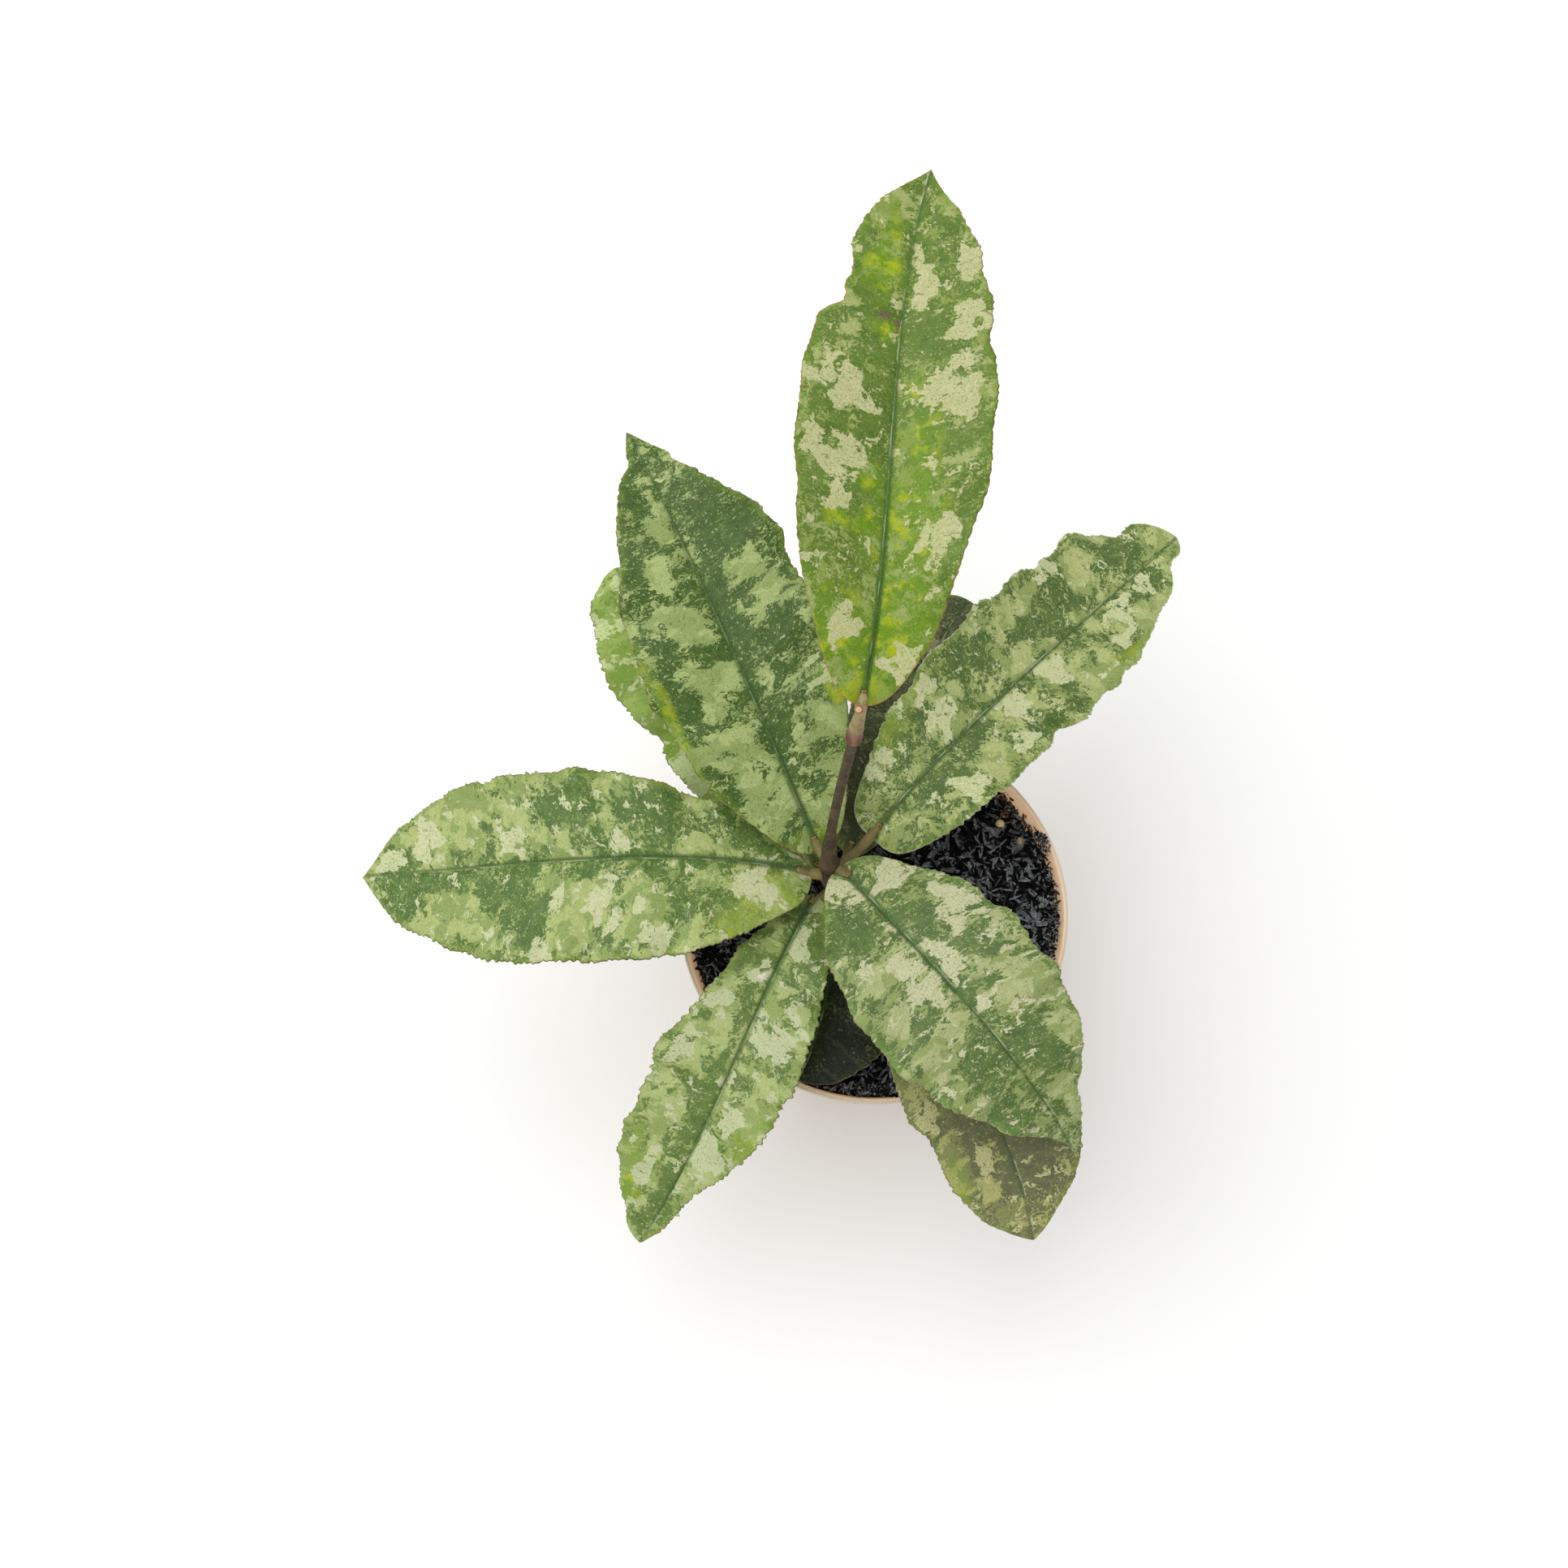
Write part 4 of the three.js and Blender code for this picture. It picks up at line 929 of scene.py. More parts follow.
def green_layers(net, grain, colours, lime_map, to_margin):
    """The green under the splashes, and how young the tissue is at each spot, which tints the splashes. Near
    the margin the lime is partly young tissue and partly a painted glow.
    """
    mottle = grain.mottle
    green = net.colours((mottle * 2.2 + 0.5).at_least(0).at_most(1), colours["deep"], colours["light"])
    green = net.colours(0.45, green, colours["dark"])
    green = net.colours((0.5 - grain.pepper).ramp(0.5, 0.8) * 0.4, green, colours["deep"])
    mist = net.noise(grain.near + (60.0, 9.0, 0.0), detail=5, roughness=0.7, scale=0.35).ramp(0.08, 0.3)
    green = net.colours(mist * 0.35, green, colours["mist"])
    # Lime along the margin: partly young tissue, partly a painted glow of light through the thin edge.
    margin_lime_and_glow = (1 - (to_margin + 2.0 * mottle).ramp(0.6, 3.0)) * (mottle + 0.5).ramp(0.3, 0.6)
    young = (lime_map * (0.9 + 1.6 * mottle)).at_least(0.55 * margin_lime_and_glow).at_most(1)
    green = net.colours(young, green, colours["lime"])
    yellow = lime_map * net.noise(grain.near, detail=4, roughness=0.6, scale=0.2).ramp(-0.02, 0.12)
    return net.colours(yellow * 0.85, green, colours["yellow"]), young


def pale_layers(net, green, grain, colours, levels, young):
    """Lays the pale splashes on, with islands, dust and grains of them around, and with pits in them."""
    level, _, olive_level, crumbs = levels
    light = level.ramp(-0.008, 0.01)
    tint = net.colours(olive_level.ramp(-0.02, 0.03), colours["pale"], colours["olive"])
    worn = (grain.fine + 0.7 * grain.mottle + 0.5).ramp(0.42, 0.68)
    tint = net.colours(worn * 0.3, tint, colours["light"])
    tint = net.colours(young * 0.5, tint, colours["lime"])
    near_light = level.ramp(-0.3, 0.0)
    islands = (crumbs - 0.16 + 0.1 * near_light).ramp(0.0, 0.015)
    dust = (grain.fine - 0.12 + 0.08 * near_light).ramp(0.0, 0.025)
    powder = (grain.tiny - 0.17 + 0.06 * near_light).ramp(0.0, 0.04)
    dust = (dust + 0.7 * powder).at_most(1)
    grains = specks(net, grain.shaken + (9.0, 4.0, 0.0), 1.05, 0.42 + 0.25 * near_light, 0.24)
    layers = net.colours((islands + dust * 0.8 + grains * 0.9).at_most(1), green, tint)
    layers = net.colours(light, layers, tint)
    pits = (grain.pepper - 0.11 + 0.05 * (1 - level.ramp(0.0, 0.2))).ramp(0.0, 0.03)
    return net.colours(pits * light * 0.75, layers, colours["dark"]), pits


def silver_layers(net, layers, grain, colours, silver_level, pits):
    """Lays the silver splashes on, a little stained, and fine flecks of silver around them."""
    silver = silver_level.ramp(-0.008, 0.01)
    worn = (grain.fine + 0.6 * grain.mottle + 0.5).ramp(0.38, 0.68)
    tint = net.colours(worn * 0.55, colours["silver"], colours["pale"])
    stains = specks(net, grain.shaken + (4.0, 33.0, 0.0), 1.3, 0.3, 0.2)
    tint = net.colours(stains * 0.5, tint, colours["olive"])
    layers = net.colours(silver * (1 - 0.8 * pits), layers, tint)
    flecks = (grain.pepper - 0.2 + 0.1 * silver_level.ramp(-0.25, 0.0)).ramp(0.0, 0.025)
    return net.colours(flecks * 0.85 * (1 - silver), layers, colours["silver"]), silver


# %% [markdown]
# The midrib is a plain green band. Painted shade darkens one side of its groove and the furrow beside it, and
# a
# pale line comes and goes along the other: partly a real pale streak, partly a painted highlight. The side
# veins are soft lines that the bump and a hint of colour follow.

# %% Midrib, side veins and margin
def midrib_band(net, layers, splashes, colours, place, share, grain):
    """Lays the plain green band of the midrib on, painted shade on one side of its groove and in its furrow,
    and its pale line, partly a painted highlight, which comes and goes.
    """
    out, along, _ = place.xyz()
    wavy = 1.6 * grain.mottle + 1.2 * grain.fine
    band = 1 - (out.abs() + wavy + 1.2 * share).ramp(0.8, 2.0)
    layers = net.colours(band * splashes.get("band", 0.75), layers, colours["midrib"])
    # Painted shade on the right side of the midrib's groove.
    groove_shade_side = (1 - (out + 0.9 + 0.6 * grain.mottle).abs().ramp(0.2, 0.9)) * (1 - share)
    layers = net.colours(groove_shade_side * splashes.get("groove_shade_side", 0.35), layers, colours["deep"])
    comes = net.noise(net.vector(along * 0.13, 0.5 * out, grain.mottle * 0.2), detail=2)
    broken = (comes + 0.25 * grain.fine).ramp(0.0, 0.05)
    # Painted shade in the furrow beside the midrib.
    furrow_shade = 1 - (out + 0.55 + 0.5 * grain.fine).abs().ramp(0.15, 0.75 - 0.3 * share)
    layers = net.colours(furrow_shade * (0.25 + 0.5 * (grain.mottle + 0.5)), layers, colours["deep"])
    # The pale line: partly a real pale streak, partly a painted highlight on the lit side of the groove.
    line = (1 - (out - 0.35 + 0.6 * grain.fine).abs().ramp(0.14, 0.42)) * broken
    return net.colours(line * splashes.get("line", 0.6), layers, colours["vein"])


def side_veins(out, along, mottle):
    """Soft lines that leave the midrib at about 50 degrees and bend towards the tip."""
    beside = out.abs()
    bend = 0.15 * beside + 0.008 * beside * beside
    turn = (along - bend + 3.0 * mottle) / VEIN_SPACING + out.sign() * 0.22
    off = (turn - turn.floor() - 0.5).abs() * VEIN_SPACING
    return (1 - off.ramp(0.0, 0.8)) * beside.ramp(0.6, 2.5)


def marks_and_margin(net, layers, grain, colours, to_margin):
    """Lays on the purple and white marks, the thin margin, and the finest dark and light grain over all."""
    purple, white, _ = net.node("ShaderNodeAttribute", {"attribute_name": "marks"}).of("Vector").xyz()
    purple = (purple * (0.7 + 2 * grain.pepper)).at_least(0).at_most(1)
    layers = net.colours(purple, layers, colour(104, 66, 76))
    layers = net.colours(white * 0.8, layers, colour(226, 214, 206))
    edge = 1 - (to_margin - 0.9 * grain.fine).ramp(0.06, 0.42)
    margin = net.colours((grain.mottle + 0.5).ramp(0.42, 0.6), colours["margin"], colours["margin_pale"])
    layers = net.colours(edge * 0.85, layers, margin)
    layers = net.colours((0.5 - grain.tiny).ramp(0.48, 0.78) * 0.55, layers, colours["deep"])
    return net.colours((grain.tiny + 0.5).ramp(0.54, 0.82) * 0.5, layers, colours["silver"])


def upper_skin(name, splashes, colours, seed):
    material, net, shader = surface(name + " upper skin", specular=0.24)
    place, (to_margin, _, share), (pale_map, silver_map, lime_map) = leaf_maps(net)
    levels = splash_levels(net, place, splashes, pale_map, silver_map, seed)
    grain = Grain(net, place + (0.0, 0.0, seed * 5.0))
    green, young = green_layers(net, grain, colours, lime_map, to_margin)
    layers, pits = pale_layers(net, green, grain, colours, levels, young)
    layers, silver = silver_layers(net, layers, grain, colours, levels[1], pits)
    layers = midrib_band(net, layers, splashes, colours, place, share, grain)
    out, along, _ = place.xyz()
    veins = side_veins(out, along, grain.mottle)
    layers = net.colours(veins * 0.05, layers, colours["vein"])
    layers = marks_and_margin(net, layers, grain, colours, to_margin)
    leather = net.noise(grain.near, detail=4, roughness=0.65, scale=1.9)
    swells = net.noise(grain.near, detail=2, scale=0.4)
    height = 0.1 * leather + 0.05 * silver - 0.03 * veins + 0.32 * swells
    rough = 0.46 + 0.08 * silver + 0.25 * grain.fine
    feed(net, shader, Base_Color=layers, Roughness=rough, Normal=bumped(net, height))
    return material


# %% [markdown]
# The lower skin is plainer: dull pale green, a little purple near the midrib, with the keel and the side
# veins a shade lighter.

# %% The lower skin
def lower_skin(name, colours, seed):
    material, net, shader = surface(name + " lower skin", roughness=0.6, specular=0.2)
    place = net.node("ShaderNodeAttribute", {"attribute_name": "place"}).of("Vector")
    out, along, _ = place.xyz()
    beside = out.abs()
    near = place + (0.0, 0.0, seed * 5.0 + 40.0)
    mottle = net.noise(near, detail=5, roughness=0.6, scale=0.25)
    fine = net.noise(near, detail=3, scale=1.6)
    skin = net.colours((mottle + 0.5).ramp(0.25, 0.8), colour(112, 128, 84), colour(142, 154, 106))
    skin = net.colours(0.25, skin, colours["dark"])
    skin = net.colours((1 - beside.ramp(0, 9)) * 0.25, skin, colour(120, 98, 84))
    skin = net.colours((1 - beside.ramp(0.9, 1.8)) * 0.7, skin, colour(152, 152, 110))
    veins = side_veins(out, along, mottle)
    skin = net.colours(veins * 0.3, skin, colour(160, 166, 124))
    height = 0.12 * veins + 0.06 * fine
    feed(net, shader, Base_Color=skin, Normal=bumped(net, height))
    return material


# %% [markdown]
# Now the ten blades can be grown, each from its row of numbers, its two skins and its splashes. A leaf with
# fewer notches than the tree has places fills the rest with notches of no depth.

# %% Blades
NO_NOTCH = (2.0, 0.0, 0.1)


def notches(leaf):
    """The notch inputs of a leaf, with notches of no depth for the places that it leaves free."""
    given = [*leaf["notches"], *[NO_NOTCH] * NOTCH_PLACES]
    return {f"Notch {number}": given[number - 1] for number in range(1, NOTCH_PLACES + 1)}


def blade_values(name, leaf):
    """The inputs of the blade's tree for one leaf."""
    midrib = leaf["midrib"]
    colours = {part: colour(*screen) for part, screen in {**LEAF_COLOURS, **LEAF_CHANGES[name]}.items()}
    return {
        "Midrib Base": midrib[0], "Base Handle": midrib[1], "Tip Handle": midrib[2], "Midrib Tip": midrib[3],
        "Left": leaf["left"], "Right": leaf["right"], "Fold": (*leaf["fold"], 0), "Curl": float(leaf["curl"]),
        "Waves": float(leaf["waves"]), "Wave Height": float(leaf["wave_height"]),
        "Phase": (*leaf["phase"], 0), "Teeth": float(leaf["teeth"]), "Lobe": float(leaf["lobe"]),
        "Tip Point": leaf.get("tip_point", 0.1), "Seed": float(leaf["seed"]), **notches(leaf),
        "Rows": leaf.get("rows", 280), "Columns": leaf.get("columns", 45),
        "Upper Skin": upper_skin(name, SPLASHES[name], colours, leaf["seed"]),
        "Lower Skin": lower_skin(name, colours, leaf["seed"]),
    }


for leaf_name, leaf in LEAVES.items():
    values = {k: Vector(v) if isinstance(v, tuple) else v for k, v in blade_values(leaf_name, leaf).items()}
    blade = grow(leaf_name + "_blade", blade_tree, values)
    map_splashes(blade, SPLASHES[leaf_name])
    settle(blade, "leaf", leaf_name)

# %% [markdown]
# The stem and the leaf stalks are round, bend smoothly and swell at each node. A tube along a path is the
# plain way to make them: the path is a smooth curve through a few points, each point of it keeps its own
# thickness, and one tree sweeps a circle along it. A stalk starts inside the stem, leaves it outwards, and
# runs a little way under its blade, where the keel carries on.

# %% Smooth paths
STEM_POINTS = [(-6, -1, 54), (-7.5, -1, 80), (-10.5, 0.5, 100), (-12.7, 3.2, 116), (-13.7, 4.4, 125),
               (-13.6, 8.5, 137), (-12, 13.5, 155), (-10, 17.3, 175), (-8.3, 20.3, 191), (-7.4, 22.4, 197.5)]
STEM_NODES = (92, 100, 108, 116.5, 125)
TOP_NODE = 191.4
STEM_LOW_RADIUS = 2.3
STEM_HIGH_RADIUS = 1.4
STEM_YOUNG_RADIUS = 2.0
NODE_SWELLING = 0.8
NODE_REACH = 2.4
STALK_UNDER_BLADE = 11.0


def smooth_path(points, count):
    """Evenly spaced places on a smooth curve through all the points (a centripetal Catmull-Rom curve)."""
    knots = [np.array(p, float) for p in points]
    knots = [2 * knots[0] - knots[1], *knots, 2 * knots[-1] - knots[-2]]
    dense = []
    for a, b, c, d in zip(knots, knots[1:], knots[2:], knots[3:]):
        ta = 0.0
        tb = ta + math.sqrt(np.linalg.norm(b - a))
        tc = tb + math.sqrt(np.linalg.norm(c - b))
        td = tc + math.sqrt(np.linalg.norm(d - c))
        for t in np.linspace(tb, tc, 40, endpoint=False):
            ab = a + (b - a) * (t - ta) / (tb - ta)
            bc = b + (c - b) * (t - tb) / (tc - tb)
            cd = c + (d - c) * (t - tc) / (td - tc)
            abc = ab + (bc - ab) * (t - ta) / (tc - ta)
            bcd = bc + (cd - bc) * (t - tb) / (td - tb)
            dense.append(abc + (bcd - abc) * (t - tb) / (tc - tb))
    dense = np.array([*dense, knots[-2]])
    run = np.concatenate([[0], np.cumsum(np.linalg.norm(np.diff(dense, axis=0), axis=1))])
    shares = np.linspace(0, run[-1], count)
    return np.stack([np.interp(shares, run, dense[:, i]) for i in range(3)], axis=1)


def shoot_net():
    """Sweeps a circle along a path whose points keep their own thickness."""
    net, given = geometry_net("shoot", {"Sides": int, "Skin": bpy.types.Material})
    path = net.node("GeometryNodeMeshToCurve", {}, {"Mesh": given["Geometry"]})
    thick = net.node("GeometryNodeInputNamedAttribute", {"data_type": "FLOAT"}, {"Name": "thick"})
    circle = net.node("GeometryNodeCurvePrimitiveCircle", {}, {"Resolution": given["Sides"], "Radius": 1.0})
    tube = net.node("GeometryNodeCurveToMesh", {}, {
        "Curve": path, "Profile Curve": circle, "Scale": thick, "Fill Caps": True})
    smooth = net.node("GeometryNodeSetShadeSmooth", {}, {"Geometry": tube, "Shade Smooth": True})
    finish_net(net, smooth, (given["Skin"], True))
    return net.tree


shoot_tree = shoot_net()
stem_path = smooth_path(STEM_POINTS, 420)
print("stem length", round(float(np.linalg.norm(np.diff(stem_path, axis=0), axis=1).sum()), 1), "mm")


# %% [markdown]
# Old stem is a dull purple-brown with fine pale dots; young stem and the stalks are olive, flushed with brown
# where the light falls on them. Both are smooth and a little waxy, with faint ridges along their length.

# %% Bark and stalk skins
def shoot_skin(name, low, high, flush, roughness=0.5):
    """Bark or the skin of a stalk: two colours in clouds, flushed with a third, with pale and dark dots."""
    material, net, shader = surface(name, roughness=roughness, specular=0.35)
    spot = on_object(net)
    slow = net.noise(spot, detail=4, scale=0.22)
    fine = net.noise(spot * (1.0, 1.0, 0.35), detail=4, roughness=0.7, scale=2.4)
    skin = net.colours((slow + 0.5).ramp(0.3, 0.7), low, high)
    skin = net.colours((fine + 0.5).ramp(0.45, 0.75) * 0.5, skin, flush)
    dots = specks(net, spot, 0.8, 0.3, 0.16)
    skin = net.colours(dots * 0.45, skin, colour(186, 170, 140))
    dark_dots = specks(net, spot + (3.0, 7.0, 1.0), 1.3, 0.3, 0.2)
    skin = net.colours(dark_dots * 0.4, skin, colour(58, 44, 30))
    height = 0.1 * fine + 0.06 * dots
    feed(net, shader, Base_Color=skin, Normal=bumped(net, height))
    return material


def top_shoot_skin():
    """The young end of the shoot: olive brown, and at its node pink and crimson at the sides, with a pale
    ring at its foot that is partly pale tissue and partly a painted highlight.
    """
    material, net, shader = surface("top shoot skin", roughness=0.38, specular=0.4)
    spot = on_object(net)
    x, _, height = spot.xyz()
    slow = net.noise(spot, detail=4, roughness=0.6, scale=0.35)
    fine = net.noise(spot * (1.0, 1.0, 0.4), detail=4, roughness=0.7, scale=2.2)
    skin = net.colours((slow + 0.5).ramp(0.3, 0.7), colour(122, 108, 70), colour(150, 134, 92))
    skin = net.colours((fine + 0.5).ramp(0.45, 0.8) * 0.5, skin, colour(172, 146, 112))
    pink = 1 - (height + 3.0 * slow).ramp(192.0, 197.0)
    skin = net.colours(pink * 0.8, skin, colour(124, 80, 66))
    off = (x + 8.3).abs() + 1.6 * slow + 1.2 * fine
    crimson = off.ramp(0.35, 1.4) * (1 - height.ramp(192.5, 196.0))
    skin = net.colours(crimson * 0.85, skin, colour(98, 34, 40))
    # The pale ring at the node's foot: partly pale tissue, partly a painted highlight.
    pale_ring_and_highlight = 1 - (height + 1.2 * fine).ramp(189.4, 190.6)
    skin = net.colours(pale_ring_and_highlight * 0.8, skin, colour(206, 172, 158))
    skin = net.colours(specks(net, spot, 0.9, 0.2, 0.14) * 0.5, skin, colour(222, 200, 178))
    feed(net, shader, Base_Color=skin, Normal=bumped(net, 0.08 * fine))
    return material


old_stem_skin = shoot_skin("old stem skin", colour(56, 46, 36), colour(86, 68, 54), colour(112, 90, 72))
young_skin = top_shoot_skin()
stalk_skin = shoot_skin("stalk skin", colour(92, 88, 46), colour(134, 120, 70), colour(150, 104, 72))


# %% [markdown]
# The stem swells at each node, where a leaf stands, and gets slimmer above the pot. At the top node the young
# shoot begins, thicker, with a pale ring at its foot that is partly a painted highlight. It has a finish of
# its own, so the stem is two tubes that overlap a little at the node.

# %% The stem
OLD_STEM_END = 189.0
YOUNG_STEM_START = 188.6


def chain(count):
    """The edges of a path of points."""
    return [(i, i + 1) for i in range(count - 1)]


def stem_thickness(path):
    """The radius at each point of the stem: slimmer upwards, swollen at the nodes, each with a fine ring."""
    share = np.linspace(0, 1, len(path))
    height = path[:, 2]
    radius = STEM_LOW_RADIUS + (STEM_HIGH_RADIUS - STEM_LOW_RADIUS) * ease(share, 0.52, 0.62)
    young = ease(height, TOP_NODE - 3.2, TOP_NODE - 1.2)
    radius = radius + (STEM_YOUNG_RADIUS - STEM_HIGH_RADIUS) * young
    radius = radius + 0.3 * np.exp(-((height - TOP_NODE) / 1.8) ** 2)
    for node in STEM_NODES:
        radius = radius + NODE_SWELLING * np.exp(-((height - node) / NODE_REACH) ** 2)
        radius = radius + 0.12 * np.exp(-((height - node + 1.6) / 0.35) ** 2)
    radius = radius + 0.05 * np.sin(height * 1.7) * np.sin(height * 0.6 + 1)
    return radius * (1 - 0.75 * ease(share, 0.985, 1.0))


def make_shoot(name, path, thick, skin, *nodes, sides=28, slot="stem"):
    values = {"Sides": sides, "Skin": skin}
    piece = grow(name, shoot_tree, values, path, chain(len(path)), {"thick": thick})
    settle(piece, slot, *nodes)
    return piece


stem_thick = stem_thickness(stem_path)
is_old = stem_path[:, 2] <= OLD_STEM_END
is_young = stem_path[:, 2] >= YOUNG_STEM_START
make_shoot("stem_old", stem_path[is_old], stem_thick[is_old], old_stem_skin, "main_stem")
make_shoot("stem_young", stem_path[is_young], stem_thick[is_young], young_skin, "main_stem")

# %% [markdown]
# On the young shoot, above the top node, is the stub of a leaf or flower stalk that has dropped off. It ends
# in a pale, corky scar with an orange rim. A short tube that flares a little makes the stub, and two more,
# shorter still, make the rim and the cork inside it.

# %% The scar
SCAR_CENTRE = np.array([-7.4, 24.8, 201.7])
SCAR_TILT = math.radians(45)
SCAR_LENGTH = 3.2
SCAR_RADIUS = 0.95
scar_skin = shoot_skin("scar cork", colour(196, 168, 132), colour(212, 186, 152), colour(176, 124, 88), 0.75)
rim_skin = shoot_skin("scar rim", colour(150, 92, 54), colour(176, 116, 76), colour(122, 70, 42), 0.5)


def scar_place(along):
    """A place on the scar's axis, which leans towards the viewer."""
    direction = np.array([0, -math.sin(SCAR_TILT), math.cos(SCAR_TILT)])
    return SCAR_CENTRE + direction * along


stub = np.array([scar_place(t) for t in np.linspace(-SCAR_LENGTH / 2, SCAR_LENGTH / 2, 14)])
make_shoot("scar_stub", stub, SCAR_RADIUS * np.linspace(1.0, 1.12, 14), young_skin, "main_stem")
rim_shares = np.array([1.45, 1.6, 1.75, 1.85])
rim_path = np.array([scar_place(t) for t in rim_shares])
make_shoot("scar_rim", rim_path, np.array([1.02, 1.15, 1.12, 0.85]), rim_skin, "main_stem")
cork_path = np.array([scar_place(t) for t in (1.5, 1.86, 1.95)])
make_shoot("scar_cork", cork_path, np.array([0.8, 0.78, 0.6]), scar_skin, "main_stem")


# %% [markdown]
# Each leaf stalk leaves the stem at its own node, straight out, and then bends up to its blade. It is thicker
# at both ends, and thins out under the blade, where the keel takes over.

# %% The leaf stalks
def midrib_place(leaf, distance):
    """A place on a leaf's midrib at a distance from its base, with the directions along it and out of it."""
    a, b, c, d = (np.array(p, float) for p in leaf["midrib"])
    t = np.linspace(0, 1, 400)[:, None]
    curve = a * (1 - t) ** 3 + 3 * b * t * (1 - t) ** 2 + 3 * c * t * t * (1 - t) + d * t ** 3
    run = np.concatenate([[0], np.cumsum(np.linalg.norm(np.diff(curve, axis=0), axis=1))])
    spot = np.array([np.interp(distance, run, curve[:, i]) for i in range(3)])
    ahead = np.array([np.interp(distance + 0.5, run, curve[:, i]) for i in range(3)])
    along = (ahead - spot) / np.linalg.norm(ahead - spot)
    face = np.array([0, 0, 1.0]) - along * along[2]
    return spot, along, face / np.linalg.norm(face)


def stalk_path(leaf):
    """From inside the stem, out to the blade's base and a little way under the blade."""
    base, along, face = midrib_place(leaf, 0)
    height = min(leaf["node"], 197.4)
    nearest = int(np.argmin(np.abs(stem_path[:, 2] - height)))
    axis = stem_path[nearest]
    if leaf["node"] > 190:
        outward = (stem_path[-1] - stem_path[-8]) / np.linalg.norm(stem_path[-1] - stem_path[-8])
        start = axis - outward * 1.2
        leave = axis + outward * 0.4
    else:
        outward = (base - axis) * (1, 1, 0)
        outward = outward / np.linalg.norm(outward)
        start = axis
        leave = axis + outward * (STEM_LOW_RADIUS + 1.0)
    reach = np.linalg.norm(base - leave)
    elbow = leave + outward * reach * 0.5 - np.array([0, 0, reach * 0.08])
    points = [start, leave, elbow]
    for distance, sink in ((0, 1.5), (3.0, 1.9), (STALK_UNDER_BLADE, 1.3)):
        spot, _, up = midrib_place(leaf, distance)
        points.append(spot - up * sink)
    return smooth_path(points, 90)


def stalk_thickness(leaf, path):
    """Thick at the stem, slimmer in the middle, thick again at the blade, and thin where it ends below."""
    run = np.concatenate([[0], np.cumsum(np.linalg.norm(np.diff(path, axis=0), axis=1))])
    to_end = run[-1] - run
    bare = max(run[-1] - STALK_UNDER_BLADE, 1.0)
    waist = 1 - 0.14 * np.sin(np.clip(run / bare, 0, 1) * math.pi) ** 2
    knuckle = 0.08 * np.exp(-((to_end - STALK_UNDER_BLADE - 0.5) / 1.8) ** 2)
    taper = 0.3 + 0.7 * ease(to_end, STALK_UNDER_BLADE * 0.4, STALK_UNDER_BLADE)
    at_stem, at_blade = leaf.get("stalk_shape", (1.0, 1.0))
    shape = at_stem + (at_blade - at_stem) * ease(run / bare, 0, 1)
    return leaf["petiole"] * (waist + knuckle) * taper * shape


for leaf_name, leaf in LEAVES.items():
    path = stalk_path(leaf)
    skin = young_skin if leaf_name == "leaf_top" else stalk_skin
    make_shoot(leaf_name + "_stalk", path, stalk_thickness(leaf, path), skin, leaf_name, sides=20)

# %% [markdown]
# Where a stalk meets its blade there is a knot of tiny glands on top, orange-brown and shiny. They are a
# few beads of different sizes, so points with a size each and one bead instanced on them make them all.

# %% The glands
gland_skin = shoot_skin("gland skin", colour(150, 98, 54), colour(204, 150, 98), colour(118, 70, 40), 0.35)
GLAND_SPOTS = ((0.1, 0.34, 0.42), (0.2, -0.36, 0.38), (-0.5, 0.05, 0.3))


def gland_net():
    """A small bead on every point, turned at random and scaled by the point's own size."""
    net, given = geometry_net("glands", {"Skin": bpy.types.Material})
    size = net.node("GeometryNodeInputNamedAttribute", {"data_type": "FLOAT"}, {"Name": "thick"})
    bead = net.node("GeometryNodeMeshUVSphere", {}, {"Segments": 14, "Rings": 9, "Radius": 1.0})
    turned = net.node("FunctionNodeRandomValue", {"data_type": "FLOAT_VECTOR"}, {"Max": (3.0, 3.0, 3.0)})
    beads = net.node("GeometryNodeInstanceOnPoints", {}, {
        "Points": given["Geometry"], "Instance": bead, "Scale": size * (1.15, 1.0, 0.75), "Rotation": turned})
    smooth = net.node("GeometryNodeSetShadeSmooth", {}, {"Geometry": beads, "Shade Smooth": True})
    finish_net(net, smooth, (given["Skin"], True))
    return net.tree


gland_places = []
gland_sizes = []
for leaf in LEAVES.values():
    spot, along, face = midrib_place(leaf, 0.4)
    left = np.cross(face, along)
    for forward, sideways, radius in GLAND_SPOTS:
        gland_places.append(spot + along * forward + left * sideways + face * 0.45)
        gland_sizes.append(radius)
glands = grow("glands", gland_net(), {"Skin": gland_skin}, gland_places, (), {"thick": gland_sizes})
settle(glands, "stem")

# %% [markdown]
# The pot is a moulded nursery pot: a tapered wall, a proud collar with a rounded lip, and a flat base with
# drain holes and the small grooves that let water out from under it. It is turned on a lathe from its
# section, and a tree cuts the eight holes and grooves.

# %% The pot's section
POT_HEIGHT = 90.0
POT_WALL = 1.6
POT_FLOOR = 2.2
POT_SIDES = 144
FOOT_RADIUS = 37.5
MOUTH_RADIUS = 56.0
RIM_RADIUS = 57.5
COLLAR_BOTTOM = 77.0
COLLAR_STEP = 1.5


def wall_radius(z):
    return FOOT_RADIUS + (MOUTH_RADIUS - FOOT_RADIUS) * z / POT_HEIGHT


def collar_radius(z):
    low = wall_radius(COLLAR_BOTTOM) + COLLAR_STEP
    return low + (RIM_RADIUS - low) * (z - COLLAR_BOTTOM) / (POT_HEIGHT - COLLAR_BOTTOM)


